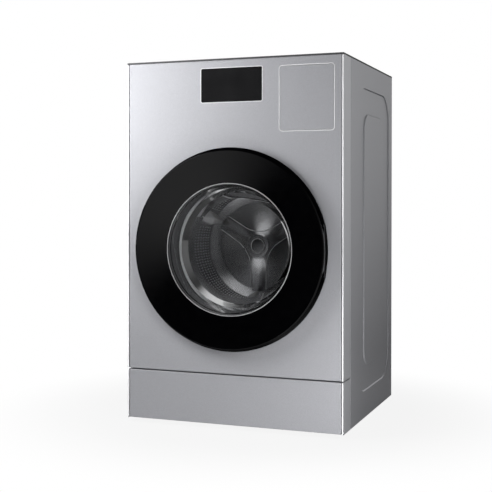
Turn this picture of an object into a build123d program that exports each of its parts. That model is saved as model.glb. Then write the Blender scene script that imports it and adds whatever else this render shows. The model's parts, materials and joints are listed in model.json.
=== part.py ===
from build123d import *
import math
import os

# Front load washing machine in millimetres, +Z up, front towards -Y.
# Depths below are counted from the front panel's face, and rise towards the rear.

# Cabinet
WIDTH = 686.0
BODY_HEIGHT = 1098.0
BODY_DEPTH = 660.0
FOOT_HEIGHT = 12.0
SHEET = 1.0
FLANGE = 18.0
TOP_THICKNESS = 5.0
TOP_LIP = 12.0
TOP_LIP_WALL = 2.0
FIT = 0.3
RUNNING = 0.05

# Pressed outlines of the side panels, by their margins to the panel's edges
BEAD_STEP = 3.0
BEAD_SLOPE = 45.0
BEAD_FRONT_MARGIN = 84.0
BEAD_REAR_MARGIN = 50.0
BEAD_BOTTOM_MARGIN = 82.0
BEAD_TOP_MARGIN = 78.0
OUTER_BEAD_RADIUS = 95.0
INNER_BEAD_MARGIN = 84.5
INNER_BEAD_END_MARGIN = 77.0
INNER_BEAD_RADIUS = 55.0

# Front face, corner trims and lower panel
FACE_SHEET = 1.2
FACE_RETURN = 20.0
FACE_EDGE_RADIUS = 2.0
CORNER_GROOVE = 4.0
TRIM_THICKNESS = 2.5
TRIM_EDGE_RADIUS = 1.0
TRIM_DEPTH = 84.0
TRIM_SETBACK = 0.8
TRIM_LEG = 16.0
TRIM_TAB = 12.0
SEAM = 2.0
SPLIT_HEIGHT = 153.0
SPLIT_GAP = 4.0
PANEL_GAP = 0.4
RAIL_HEIGHT = 22.0
RAIL_WALL = 2.0

# Lower panel pivots
LOWER_PIVOT_DEPTH = 9.0
LOWER_PIVOT_HEIGHT = 10.0
LOWER_PIN_RADIUS = 4.0
LOWER_EAR_WALL = 3.0
LOWER_EAR_THICKNESS = 6.0
LOWER_EAR_INSET = 28.5
LOWER_EAR_ROOM = 1.0
LOWER_RIB_THICKNESS = 4.0

# Display
DISPLAY_WIDTH = 193.0
DISPLAY_HEIGHT = 101.0
DISPLAY_DROP = 29.0
DISPLAY_RADIUS = 4.0
DISPLAY_GLASS = 3.6
DISPLAY_PROUD = 0.6
DISPLAY_BOX_DEPTH = 34.0
DISPLAY_BOX_RIM = 6.0
DISPLAY_BOX_WALL = 2.0

# Detergent drawer and its housing
DRAWER_WIDTH = 162.0
DRAWER_HEIGHT = 187.5
DRAWER_DROP = 31.5
DRAWER_INSET = 22.5
DRAWER_RADIUS = 7.0
DRAWER_GAP = 1.2
DRAWER_FRONT_DEPTH = 16.0
DRAWER_FRONT_WALL = 3.0
TRAY_SIDE_ROOM = 6.5
TRAY_DROP = 78.0
TRAY_LENGTH = 270.0
TRAY_WALL = 2.5
TRAY_CLEAR = 5.0
RUNNER_HEIGHT = 4.0
RUNNER_REACH = 3.0
LEDGE_HEIGHT = 5.0
HOUSING_WALL = 2.5
HOUSING_RIM = 3.0
HOUSING_REAR_ROOM = 24.0
OUTLET_INSET = 58.0
OUTLET_DEPTH = 180.0
OUTLET_LENGTH = 28.0

# Door, turned about the drum axis
AXIS_LIFT = 12.0
DOOR_PROUD = 40.0
WINDOW_PROUD = 27.0
WINDOW_RADIUS = 197.0
FACE_WIDTH = 97.5
FACE_THICKNESS = 5.0
FACE_CHAMFER = 1.25
RIM_STEP = 3.0
RIM_WALL = 2.5
RIM_LEDGE = 3.0
RIM_LEDGE_WIDTH = 30.0
RIM_LIP = 2.0
RIM_CHAMFER = 7.0
RIM_BAND_DEPTHS = (18.0, 25.5)
DOOR_REAR_GAP = 6.0
GRIP_DEPTH = 12.0
GRIP_RADIUS = 11.0
GRIP_SETBACK = 20.0
GRIP_WALL = 6.0
GRIP_END_ANGLE = 6.0
BOWL_FLANGE = 17.0
BOWL_GLASS = 4.0
BOWL_DISH_RADIUS = 340.0
BOWL_NECK_STEP = 4.0
BOWL_LIP_STEP = 4.8
BOWL_TAIL_STEP = 12.2
BOWL_BOTTOM_STEP = 16.0
BOWL_TAIL_DEPTH = 84.0
BOWL_BOTTOM_DEPTH = 100.0
INNER_FRAME_PLATE = 3.0
INNER_FRAME_INSET = 6.0
INNER_FRAME_WIDTH = 10.0

# Door hinge and latch
HINGE_INSET = 17.5
HINGE_SETBACK = 18.0
HINGE_PIN_RADIUS = 4.0
HINGE_PIN_HALF = 60.0
HINGE_BARREL_WALL = 2.5
LUG_OFFSET = 45.0
LUG_HEIGHT = 12.0
LUG_WALL = 3.0
LUG_WIDTH = 10.0
LUG_ROOM = 1.0
LUG_FRONT_ROOM = 4.0
LUG_SIDE_ROOM = 20.0
HINGE_PLATE = 3.0
HINGE_PLATE_WIDTH = 50.0
HINGE_PLATE_OFFSET = 13.0
HINGE_PLATE_HALF = 80.0
LATCH_INSET = 47.0
LATCH_WIDTH = 9.0
LATCH_HEIGHT = 10.0
LATCH_REACH = 22.0
LATCH_HOOK = 5.0
LATCH_BASE = 3.0
LOCK_ROOM = 5.0
LOCK_WALL = 8.0
LOCK_DEPTH = 34.0
LOCK_HALF_HEIGHT = 34.0

# Door mouth and gasket
MOUTH_STEP = 10.0
MOUTH_COLLAR = 14.0
GASKET_WALL = 3.0
GASKET_LIP_CLEAR = 0.8
GASKET_LIP_DEPTH = 25.5
GASKET_CREST = 12.0
GASKET_CREST_DEPTH = 46.0
GASKET_VALLEY = 1.5
GASKET_VALLEY_DEPTH = 66.0
GASKET_SKIRT = 3.5
CLAMP_WIRE = 3.0
CLAMP_BAND = 1.5
CLAMP_BAND_WIDTH = 8.0

# Drum
DRUM_FRONT_WIDTH = 43.0
DRUM_LENGTH = 260.0
DRUM_SHEET = 1.2
DRUM_GAP = 8.5
DRUM_FLANGE = 12.0
DRUM_LIP_STEP = 6.0
DRUM_LIP_PROUD = 6.0
DRUM_LIP_TURN = 8.0
HUB_FACE_SETBACK = 72.0
HUB_FACE_RADIUS = 48.0
HUB_GROOVE_WIDTH = 9.0
HUB_GROOVE_DEPTH = 3.0
STAR_SHOULDER_RADIUS = 56.0
STAR_SHOULDER_DROP = 4.0
STAR_RIM_INSET = 24.8
STAR_RIM_SETBACK = 23.0
CORNER_SETBACK = 46.0
PETAL_DROP = 9.0
PETAL_DISH = 4.0
ARM_WIDTH = 74.0
ARM_ROOT_RADIUS = 129.0
ARM_EDGE = 4.0
ARM_ANGLES = (30.0, 150.0, 270.0)
HUB_CAP_RADIUS = 35.0
HUB_CAP_HEIGHT = 6.0
HUB_CAP_STEP = 3.0
LIFTER_HEIGHT = 50.0
LIFTER_BASE = 72.0
LIFTER_TOP = 30.0
LIFTER_EDGE = 10.0
LIFTER_WALL = 3.0
LIFTER_TAPER = 8.0
LIFTER_END_GAP = 6.0

# Tub
TUB_WALL = 4.5
TUB_GAP = 23.5
TUB_REAR_GAP = 8.5
TUB_FRONT_DEPTH = 99.0
TUB_FRONT_LENGTH = 153.0
TUB_MOUTH_STEP = 1.0
TUB_MOUTH_WALL = 4.0
TUB_MOUTH_LENGTH = 17.0
TUB_FLANGE = 6.0
TUB_FLANGE_WIDTH = 16.0
TUB_RIB_HEIGHT = 26.0
TUB_RIB = 5.0
TUB_RIB_COUNT = 12
HUB_WALL = 12.0
HUB_LENGTH = 58.0
HUB_WAIST_RADIUS = 28.0
STATOR_POST_RADIUS = 8.0
STATOR_POST_COUNT = 6
SPRING_ANGLE = 38.0
SPRING_LUG = 44.0
SPRING_LUG_STEP = 12.0
SUMP_RADIUS = 20.0
SUMP_WALL = 3.0
SUMP_REACH = 10.0
FILL_RADIUS = 14.0
FILL_REACH = 47.0
HEATER_HALF_SPAN = 30.0
HEATER_GAP = 9.0
HEATER_TUBE_RADIUS = 4.0
HEATER_LENGTH = 241.0
HEATER_BLOCK_WIDTH = 84.0
HEATER_BLOCK_HEIGHT = 16.0
HEATER_BLOCK_DEPTH = 13.5
HEATER_PIN = 12.0

# Counterweights on the tub front
WEIGHT_OVERHANG = 30.0
WEIGHT_THICKNESS = 46.0
WEIGHT_ARC = 110.0
WEIGHT_MIDDLES = (90.0, 270.0)
WEIGHT_ROOM = 14.0
WEIGHT_LAND = 4.0

# Spider, shaft, bearings and motor
SPIDER_HUB_RADIUS = 44.0
SPIDER_GAP = 2.0
SPIDER_THICKNESS = 23.0
SPIDER_ARM = 20.0
SPIDER_ARM_ROOT = 64.0
SPIDER_TIP = 10.0
SPIDER_PAD = 6.8
SHAFT_FRONT_RADIUS = 17.5
SHAFT_REAR_RADIUS = 15.0
SHAFT_STEP_GAP = 8.5
SHAFT_SPLINE_RADIUS = 12.0
SHAFT_THREAD_RADIUS = 8.0
SHAFT_THREAD = 8.0
FRONT_BEARING_RADIUS = 36.0
FRONT_BEARING_WIDTH = 17.0
REAR_BEARING_RADIUS = 31.0
REAR_BEARING_WIDTH = 16.0
SEAL_RADIUS = 40.0
SEAL_WIDTH = 9.0
SEAL_LIP = 4.5
STATOR_GAP = 6.0
STATOR_STACK = 26.0
STATOR_CLEAR = 10.0
STATOR_YOKE = 26.0
STATOR_TOOTH_LENGTH = 31.0
STATOR_TEETH = 18
STATOR_TOOTH = 13.0
AIR_GAP = 2.0
MAGNET_RING = 11.0
ROTOR_WALL = 3.0
ROTOR_ROOM = 18.0
ROTOR_HUB_RADIUS = 26.0
ROTOR_WINDOWS = 6
ROTOR_WINDOW_RADIUS = 19.0

# Suspension
BEAM_WIDTH = 30.0
BEAM_HEIGHT = 13.0
BEAM_WALL = 2.0
BEAM_DROP = 238.0
SPRING_RADIUS = 14.0
SPRING_WIRE = 4.4
SPRING_STEM_RADIUS = 2.2
SPRING_END = 8.8
SPRING_STEM_SHARE = 0.34
SPRING_TURNS = 6
DAMPER_INSET = 38.0
DAMPER_DEPTH = 225.0
DAMPER_ROD_RADIUS = 9.0
DAMPER_TUBE_WALL = 4.0
DAMPER_TUBE_LENGTH = 174.0
DAMPER_OVERLAP = 105.0
DAMPER_FREE = 24.0
DAMPER_EYE_RADIUS = 16.0
DAMPER_EYE_HEIGHT = 12.0

# Base pan and feet
BASE_HEIGHT = 42.0
BASE_WALL = 4.0
BASE_RIB = 4.0
BASE_RIB_HEIGHT = 24.0
FOOT_INSET = 58.0
FOOT_SETBACK = 40.0
FOOT_BOSS_RADIUS = 16.0
FOOT_BOSS_HEIGHT = 34.0
FOOT_STUD_RADIUS = 5.0
FOOT_STUD_PROUD = 9.0
FOOT_PAD_RADIUS = 22.0
FOOT_PAD_HEIGHT = 7.5
LOCK_NUT_RADIUS = 9.8
LOCK_NUT_HEIGHT = 5.0

# Drain pump, filter cap and drain line
PUMP_X = 150.0
PUMP_RISE = 80.0
FILTER_RADIUS = 34.0
FILTER_SETBACK = 26.0
FILTER_LENGTH = 94.0
VOLUTE_RADIUS = 42.0
VOLUTE_WIDTH = 26.0
PUMP_MOTOR_RADIUS = 26.0
PUMP_MOTOR_LENGTH = 60.0
PUMP_INLET_SETBACK = 10.0
PUMP_INLET_HEIGHT = 60.0
PUMP_OUTLET_OFFSET = 35.0
PUMP_OUTLET_HEIGHT = 68.0
PUMP_FOOT_ROOM = 8.0
PUMP_FOOT_DROP = 21.0
DRAIN_RADIUS = 10.0
DRAIN_WALL = 2.5
DRAIN_RISE = 140.0
DRAIN_BEND = 40.0
DRAIN_COLLAR = 20.0
HOSE_WALL = 3.0
HOSE_LAP = 10.0
CAP_RADIUS = 40.0
CAP_THICKNESS = 6.0
CAP_GRIP = (48.0, 8.0, 12.0)
CAP_PLUG = 14.0

# Rear panel fittings
ACCESS_RADIUS = 190.0
COVER_LAP = 18.0
COVER_RISE = 9.0
COVER_SLOTS = 5
COVER_SLOT = (9.0, 150.0)
COVER_SLOT_PITCH = 40.0
REAR_BEAD_WIDTH = 26.0
REAR_BEAD_BOTTOM = 110.0
REAR_BEAD_GAP = 30.0
REAR_BEAD_STEP = 4.0
REAR_BEAD_X = (-200.0, -70.0, 70.0)
INLET_INSETS = (137.0, 81.0)
INLET_DROP = 100.0
INLET_RADIUS = 13.2
INLET_BORE = 9.5
INLET_PROUD = 14.0
VALVE_BODY = (100.0, 40.0, 34.0)
VALVE_EDGE_RADIUS = 8.0
VALVE_COIL_RADIUS = 14.0
VALVE_COIL_HEIGHT = 30.0
INLET_HOSE_RADIUS = 9.0
GLAND_INSET = 93.0
GLAND_DROP = 110.0
GLAND_PLATE = (44.0, 30.0)
GLAND_PLATE_RADIUS = 4.5
GLAND_PLATE_THICKNESS = 3.0
GLAND_RADIUS = 9.0
GLAND_BORE = 4.5
GLAND_PROUD = 12.0

# Cabinet places worked out from the sizes above
HALF = WIDTH / 2
TOP = FOOT_HEIGHT + BODY_HEIGHT
PANEL_TOP = TOP - TOP_THICKNESS
SPLIT_Z = FOOT_HEIGHT + SPLIT_HEIGHT
AXIS_Z = (SPLIT_Z + TOP - DRAWER_DROP - DRAWER_HEIGHT) / 2 + AXIS_LIFT
SIDE_FRONT = TRIM_DEPTH + SEAM
FACE_HALF = HALF - TRIM_THICKNESS - CORNER_GROOVE
REAR_INNER = BODY_DEPTH - SHEET
BASE_BOTTOM = FOOT_HEIGHT + SHEET
BASE_FRONT = SIDE_FRONT + SHEET + FIT
BASE_REAR = REAR_INNER - SHEET - FIT
FOOT_X = HALF - FOOT_INSET
FOOT_DEPTHS = (BASE_FRONT + FOOT_SETBACK, BASE_REAR - FOOT_SETBACK)
LOWER_PIVOT_Z = FOOT_HEIGHT + LOWER_PIVOT_HEIGHT
LOWER_EAR_X = FACE_HALF - LOWER_EAR_INSET
LOWER_EAR_RADIUS = LOWER_PIN_RADIUS + LOWER_EAR_WALL
DISPLAY_Z = TOP - DISPLAY_DROP - DISPLAY_HEIGHT / 2
DRAWER_X = FACE_HALF - DRAWER_INSET - DRAWER_WIDTH / 2
DRAWER_Z = TOP - DRAWER_DROP - DRAWER_HEIGHT / 2
HOUSING_HALF_X = DRAWER_WIDTH / 2 + DRAWER_GAP
HOUSING_HALF_Z = DRAWER_HEIGHT / 2 + DRAWER_GAP
HOUSING_REAR = DRAWER_FRONT_DEPTH + TRAY_LENGTH + HOUSING_REAR_ROOM
OUTLET_X = DRAWER_X - OUTLET_INSET
INLET_X = [HALF - inset for inset in INLET_INSETS]
INLET_Z = TOP - INLET_DROP
HOSE_X = sum(INLET_X) / len(INLET_X)
GLAND_X = GLAND_INSET - HALF
GLAND_Z = TOP - GLAND_DROP
Y_FRONT = (DOOR_PROUD - BODY_DEPTH - INLET_PROUD) / 2

# Door and gasket places
FACE_RADIUS = WINDOW_RADIUS + FACE_WIDTH
RIM_RADIUS = FACE_RADIUS + 3 * RIM_STEP
RIM_BORE = FACE_RADIUS - RIM_WALL
RIM_LEDGE_RADIUS = RIM_BORE - RIM_LEDGE_WIDTH
GRIP_CENTRE_DEPTH = GRIP_SETBACK - DOOR_PROUD
BOWL_NECK_RADIUS = WINDOW_RADIUS - BOWL_NECK_STEP
BOWL_LIP_RADIUS = BOWL_NECK_RADIUS - BOWL_LIP_STEP
BOWL_TAIL_RADIUS = BOWL_LIP_RADIUS - BOWL_TAIL_STEP
BOWL_BOTTOM_RADIUS = BOWL_TAIL_RADIUS - BOWL_BOTTOM_STEP
INNER_FRAME_BORE = WINDOW_RADIUS + INNER_FRAME_INSET
HINGE_X = HINGE_INSET - RIM_RADIUS
HINGE_DEPTH = HINGE_SETBACK - DOOR_PROUD
HINGE_BARREL_RADIUS = HINGE_PIN_RADIUS + HINGE_BARREL_WALL
LUG_RADIUS = HINGE_PIN_RADIUS + LUG_WALL
LATCH_X = RIM_BORE - LATCH_INSET
MOUTH_RADIUS = WINDOW_RADIUS + MOUTH_STEP
TUB_MOUTH_RADIUS = MOUTH_RADIUS - TUB_MOUTH_STEP

# Drum, tub and motor places
DRUM_RADIUS = WINDOW_RADIUS + DRUM_FRONT_WIDTH
TUB_RADIUS = DRUM_RADIUS + TUB_GAP + TUB_WALL
TUB_FLANGE_RADIUS = TUB_RADIUS + TUB_FLANGE_WIDTH
TUB_JOINT_DEPTH = TUB_FRONT_DEPTH + TUB_FRONT_LENGTH
DRUM_BORE = DRUM_RADIUS - DRUM_SHEET
DRUM_FRONT_DEPTH = TUB_FRONT_DEPTH + TUB_WALL + DRUM_GAP
DRUM_REAR_DEPTH = DRUM_FRONT_DEPTH + DRUM_LENGTH
DRUM_LIP_DEPTH = DRUM_FRONT_DEPTH - DRUM_LIP_PROUD
DRUM_LIP_RADIUS = BOWL_TAIL_RADIUS + DRUM_LIP_STEP
HUB_FACE_DEPTH = DRUM_REAR_DEPTH - HUB_FACE_SETBACK
STAR_SHOULDER = (STAR_SHOULDER_RADIUS, HUB_FACE_DEPTH + STAR_SHOULDER_DROP)
STAR_RIM = (DRUM_BORE - STAR_RIM_INSET, DRUM_REAR_DEPTH - STAR_RIM_SETBACK)
CORNER_DEPTH = DRUM_REAR_DEPTH - CORNER_SETBACK
CORNER_SLOPE = (DRUM_BORE - DRUM_SHEET - STAR_RIM[0]) / (STAR_RIM[1] - CORNER_DEPTH)
PETAL_ROOT = (STAR_SHOULDER_RADIUS, STAR_SHOULDER[1] + PETAL_DROP)
PETAL_RIM = (STAR_RIM[0] - PETAL_DROP * CORNER_SLOPE, STAR_RIM[1] + PETAL_DROP)
LIFTER_FRONT = DRUM_FRONT_DEPTH + DRUM_FLANGE + LIFTER_END_GAP
LIFTER_LENGTH = CORNER_DEPTH - LIFTER_END_GAP - LIFTER_FRONT
SPIDER_FRONT = DRUM_REAR_DEPTH + SPIDER_GAP
SPIDER_REAR = SPIDER_FRONT + SPIDER_THICKNESS
TUB_REAR_DEPTH = SPIDER_REAR + TUB_REAR_GAP + TUB_WALL
SEAL_FRONT = TUB_REAR_DEPTH - TUB_WALL
SEAL_REAR = SEAL_FRONT + SEAL_WIDTH
FRONT_BEARING_REAR = SEAL_REAR + FRONT_BEARING_WIDTH
HUB_RADIUS = SEAL_RADIUS + HUB_WALL
HUB_REAR_DEPTH = TUB_REAR_DEPTH + HUB_LENGTH
REAR_BEARING_FRONT = HUB_REAR_DEPTH - REAR_BEARING_WIDTH
SHAFT_STEP_DEPTH = FRONT_BEARING_REAR + SHAFT_STEP_GAP
STATOR_DEPTH = HUB_REAR_DEPTH + STATOR_GAP
STATOR_BORE = HUB_RADIUS + STATOR_CLEAR
STATOR_YOKE_RADIUS = STATOR_BORE + STATOR_YOKE
STATOR_TIP_RADIUS = STATOR_YOKE_RADIUS + STATOR_TOOTH_LENGTH
MAGNET_RADIUS = STATOR_TIP_RADIUS + AIR_GAP
ROTOR_RADIUS = MAGNET_RADIUS + MAGNET_RING
ROTOR_REAR_DEPTH = STATOR_DEPTH + STATOR_STACK + ROTOR_ROOM
SUMP_BOTTOM = AXIS_Z - TUB_RADIUS - SUMP_REACH
FILL_TOP = AXIS_Z + math.sqrt(TUB_RADIUS ** 2 - OUTLET_X ** 2) + FILL_REACH
HEATER_Z = AXIS_Z - DRUM_RADIUS - HEATER_GAP

# Suspension and drain places
SPRING_CIRCLE = TUB_FLANGE_RADIUS + SPRING_LUG_STEP
SPRING_X = SPRING_CIRCLE * math.cos(math.radians(SPRING_ANGLE))
SPRING_Z = AXIS_Z + SPRING_CIRCLE * math.sin(math.radians(SPRING_ANGLE))
SPRING_DEPTH = TUB_JOINT_DEPTH + SPRING_LUG / 2
BEAM_BOTTOM = TOP - BEAM_DROP
DAMPER_X = TUB_RADIUS - DAMPER_INSET
DAMPER_SEAT = BASE_BOTTOM + BASE_WALL + BASE_RIB_HEIGHT
DAMPER_TUBE_TOP = DAMPER_SEAT + DAMPER_TUBE_LENGTH
PUMP_Z = FOOT_HEIGHT + PUMP_RISE
FILTER_FRONT = FACE_RETURN + FILTER_SETBACK
FILTER_REAR = FILTER_FRONT + FILTER_LENGTH
VOLUTE_REAR = FILTER_REAR + VOLUTE_WIDTH
PUMP_INLET_DEPTH = FILTER_REAR - PUMP_INLET_SETBACK
PUMP_INLET_TOP = PUMP_Z + PUMP_INLET_HEIGHT
PUMP_OUTLET_X = PUMP_X + PUMP_OUTLET_OFFSET
PUMP_OUTLET_DEPTH = FILTER_REAR + VOLUTE_WIDTH / 2
PUMP_OUTLET_TOP = PUMP_Z + PUMP_OUTLET_HEIGHT
DRAIN_Z = PUMP_Z + DRAIN_RISE

TURN_AXIS = Axis((0, 0, 0), (0, -1, 0))
STANDING = (Align.CENTER, Align.CENTER, Align.MIN)


def block(x_span, y_span, z_span):
    """Rectangular block between the given ends."""
    spans = (x_span, y_span, z_span)
    centre = [(low + high) / 2 for low, high in spans]
    return Pos(*centre) * Box(*[high - low for low, high in spans])


def plate(sketch, near, far):
    """Sketch drawn in (x, z), made solid between two depths."""
    return extrude(Plane.XZ.offset(-far) * sketch, far - near)


def about_drum(shape, angle=0.0):
    """Shape made about the origin, set on the drum axis and turned from +X towards +Z."""
    return Pos(0, 0, AXIS_Z) * Rot(0, -angle, 0) * shape


def turned(points, arc=360.0, start=0.0):
    """Outline of (radius, depth) points turned about the drum axis."""
    return spun(make_face(Polyline(*points, close=True)), arc, start)


def spun(outline, arc=360.0, start=0.0):
    """Face drawn in (radius, depth), turned about the drum axis."""
    return about_drum(revolve(outline, TURN_AXIS, arc), start)


def ring(inner, outer, near, far):
    """Plain ring on the drum axis between two depths."""
    return turned([(inner, near), (outer, near), (outer, far), (inner, far)])


def rod(x, z, radius, near, far):
    """Round rod along the depth."""
    return Pos(x, near, z) * Rot(-90, 0, 0) * Cylinder(radius, far - near, align=STANDING)


def post(x, y, radius, low, high):
    """Round upright post."""
    return Pos(x, y, low) * Cylinder(radius, high - low, align=STANDING)


def both_sides(shape):
    """A shape and its mirror image about the middle of the cabinet."""
    return shape + mirror(shape, about=Plane.YZ)


def hose(points, bend, radius, wall):
    """Round hose with a bore along straight runs joined by arcs."""
    path = FilletPolyline(*points, radius=bend)
    section = Plane(path @ 0, z_dir=path % 0)
    outside = sweep(section * Circle(radius), path=path)
    return outside - sweep(section * Circle(radius - wall), path=path)


def upright_hose(x, y, bore, low, high):
    """Straight upright hose with a bore."""
    return post(x, y, bore + HOSE_WALL, low, high) - post(x, y, bore, low, high)


def face_depth(radius):
    """Depth of the door's sloping black face at a radius."""
    slope = (DOOR_PROUD - WINDOW_PROUD) / (FACE_RADIUS - WINDOW_RADIUS)
    return -WINDOW_PROUD - slope * (radius - WINDOW_RADIUS)


# Cabinet panels

def side_panel():
    """Right side: one sheet with two nested pressed outlines and flanges turned inwards."""
    slab = block((HALF - FLANGE, HALF), (SIDE_FRONT, BODY_DEPTH), (FOOT_HEIGHT, PANEL_TOP))
    near, far = SIDE_FRONT + BEAD_FRONT_MARGIN, BODY_DEPTH - BEAD_REAR_MARGIN
    low, high = FOOT_HEIGHT + BEAD_BOTTOM_MARGIN, TOP - BEAD_TOP_MARGIN
    middle = Pos((near + far) / 2, (low + high) / 2)
    wide, tall = far - near, high - low
    recess = middle * RectangleRounded(wide, tall, OUTER_BEAD_RADIUS)
    field = middle * RectangleRounded(wide - 2 * INNER_BEAD_MARGIN, tall - 2 * INNER_BEAD_END_MARGIN,
                                      INNER_BEAD_RADIUS)
    form = slab - extrude(Plane.YZ.offset(HALF) * recess, -BEAD_STEP, taper=BEAD_SLOPE)
    form += extrude(Plane.YZ.offset(HALF - BEAD_STEP) * field, BEAD_STEP, taper=BEAD_SLOPE)
    panel = form - Pos(-SHEET, 0, 0) * form
    turned_in = (HALF - FLANGE, HALF)
    panel += block(turned_in, (SIDE_FRONT, SIDE_FRONT + SHEET), (FOOT_HEIGHT, PANEL_TOP))
    panel += block(turned_in, (REAR_INNER - SHEET, REAR_INNER), (FOOT_HEIGHT, PANEL_TOP))
    panel += block(turned_in, (SIDE_FRONT, REAR_INNER), (FOOT_HEIGHT, FOOT_HEIGHT + SHEET))
    panel += block(turned_in, (SIDE_FRONT, REAR_INNER), (PANEL_TOP - SHEET, PANEL_TOP))
    return panel


def top_cover():
    """Lid plate with a lip under it that drops inside the side panels."""
    lid = block((-HALF, HALF), (0, BODY_DEPTH), (PANEL_TOP, TOP))
    lip_half = HALF - FLANGE - FIT
    lip_front = SIDE_FRONT + SHEET + FLANGE
    lip_rear = REAR_INNER - SHEET - FLANGE
    inner = lip_half - TOP_LIP_WALL
    lip = block((-lip_half, lip_half), (lip_front, lip_rear), (PANEL_TOP - TOP_LIP, PANEL_TOP))
    lip -= block((-inner, inner), (lip_front + TOP_LIP_WALL, lip_rear - TOP_LIP_WALL),
                 (PANEL_TOP - TOP_LIP, PANEL_TOP))
    return lid + lip


def rear_panel():
    """Rear sheet with pressed stiffening beads, the access hole and the fittings' holes."""
    span = (-HALF + SHEET + FIT, HALF - SHEET - FIT)
    form = block(span, (BODY_DEPTH - FLANGE, BODY_DEPTH), (FOOT_HEIGHT, PANEL_TOP))
    low = FOOT_HEIGHT + REAR_BEAD_BOTTOM
    high = AXIS_Z - ACCESS_RADIUS - COVER_LAP - REAR_BEAD_GAP
    for x in REAR_BEAD_X:
        bead = Pos(x, (low + high) / 2) * SlotOverall(high - low, REAR_BEAD_WIDTH, rotation=90)
        form -= extrude(Plane.XZ.offset(-BODY_DEPTH) * bead, REAR_BEAD_STEP, taper=BEAD_SLOPE)
    panel = form - Pos(0, -SHEET, 0) * form
    panel -= about_drum(rod(0, 0, ACCESS_RADIUS, REAR_INNER - FLANGE, BODY_DEPTH))
    for x in INLET_X:
        panel -= rod(x, INLET_Z, INLET_RADIUS + FIT, REAR_INNER, BODY_DEPTH)
    panel -= rod(PUMP_OUTLET_X, DRAIN_Z, DRAIN_RADIUS + FIT, REAR_INNER, BODY_DEPTH)
    panel -= rod(GLAND_X, GLAND_Z, GLAND_RADIUS + FIT, REAR_INNER, BODY_DEPTH)
    return panel


def rear_access_cover():
    """Dished round cover over the motor, with a row of cooling slots."""
    lap = ACCESS_RADIUS + COVER_LAP
    foot = ACCESS_RADIUS - COVER_LAP / 2
    rise = BODY_DEPTH + COVER_RISE
    crown = foot - COVER_RISE
    cover = turned([(lap, BODY_DEPTH), (lap, BODY_DEPTH + SHEET), (foot, BODY_DEPTH + SHEET),
                    (crown, rise + SHEET), (0, rise + SHEET), (0, rise), (crown, rise),
                    (foot, BODY_DEPTH)])
    for n in range(COVER_SLOTS):
        x = (n - (COVER_SLOTS - 1) / 2) * COVER_SLOT_PITCH
        slot = Pos(x, AXIS_Z) * SlotOverall(COVER_SLOT[1], COVER_SLOT[0], rotation=90)
        cover -= plate(slot, rise - SHEET, rise + 2 * SHEET)
    return cover


def foot_places():
    """Centres of the four feet, as (name, x, depth)."""
    rows = zip(("front", "rear"), FOOT_DEPTHS)
    return [(f"{row}_{side}", sign * FOOT_X, depth)
            for row, depth in rows for side, sign in (("left", -1), ("right", 1))]


def base_pan():
    """Moulded tray with ribs, foot bosses, damper seats and the lower panel's pivot arms."""
    half = HALF - SHEET - FIT
    floor = BASE_BOTTOM + BASE_WALL
    rim = BASE_BOTTOM + BASE_HEIGHT
    tray = block((-half, half), (BASE_FRONT, BASE_REAR), (BASE_BOTTOM, rim))
    tray -= block((-half + BASE_WALL, half - BASE_WALL),
                  (BASE_FRONT + BASE_WALL, BASE_REAR - BASE_WALL), (floor, rim))
    rib_top = floor + BASE_RIB_HEIGHT
    for x in (-DAMPER_X, DAMPER_X):
        tray += block((x - BASE_RIB / 2, x + BASE_RIB / 2), (BASE_FRONT, BASE_REAR), (floor, rib_top))
    tray += block((-half, half), (DAMPER_DEPTH - BASE_RIB / 2, DAMPER_DEPTH + BASE_RIB / 2),
                  (floor, rib_top))
    seat = DAMPER_EYE_RADIUS + BASE_WALL
    for x in (-DAMPER_X, DAMPER_X):
        tray += post(x, DAMPER_DEPTH, seat, floor, rib_top)
    for _, x, depth in foot_places():
        tray += post(x, depth, FOOT_BOSS_RADIUS, BASE_BOTTOM, BASE_BOTTOM + FOOT_BOSS_HEIGHT)
        tray -= post(x, depth, FOOT_STUD_RADIUS + RUNNING, BASE_BOTTOM, BASE_BOTTOM + FOOT_BOSS_HEIGHT)
    ear = Pos(LOWER_PIVOT_DEPTH, LOWER_PIVOT_Z) * Circle(LOWER_EAR_RADIUS)
    reach = BASE_FRONT - LOWER_PIVOT_DEPTH
    ear += Pos(LOWER_PIVOT_DEPTH + reach / 2, LOWER_PIVOT_Z) * Rectangle(reach, 2 * LOWER_EAR_RADIUS)
    ear -= Pos(LOWER_PIVOT_DEPTH, LOWER_PIVOT_Z) * Circle(LOWER_PIN_RADIUS + RUNNING)
    arm = extrude(Plane.YZ.offset(LOWER_EAR_X) * ear, LOWER_EAR_THICKNESS)
    return tray + both_sides(arm)


def foot(x, depth):
    """Levelling foot: round pad under a stud."""
    return post(x, depth, FOOT_PAD_RADIUS, 0, FOOT_PAD_HEIGHT) + \
        post(x, depth, FOOT_STUD_RADIUS, FOOT_PAD_HEIGHT,
             BASE_BOTTOM + FOOT_BOSS_HEIGHT + FOOT_STUD_PROUD)


def foot_lock_nuts():
    """Hex nuts that lock the feet against the base pan."""
    nut = RegularPolygon(LOCK_NUT_RADIUS, 6) - Circle(FOOT_STUD_RADIUS + RUNNING)
    low = BASE_BOTTOM - LOCK_NUT_HEIGHT
    return Compound([(Pos(x, depth, low) * extrude(nut, LOCK_NUT_HEIGHT)).solid()
                     for _, x, depth in foot_places()])


def face_tray(low, high):
    """Face sheet with rounded edges and returns on all four sides."""
    sizes = (2 * FACE_HALF, high - low)
    centre = Pos(0, (low + high) / 2)
    outside = plate(centre * Rectangle(*sizes), 0, FACE_RETURN)
    outside = fillet(outside.faces().sort_by(Axis.Y)[0].edges(), FACE_EDGE_RADIUS)
    inside = centre * Rectangle(*[size - 2 * FACE_SHEET for size in sizes])
    return outside - plate(inside, FACE_SHEET, FACE_RETURN)


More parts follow.
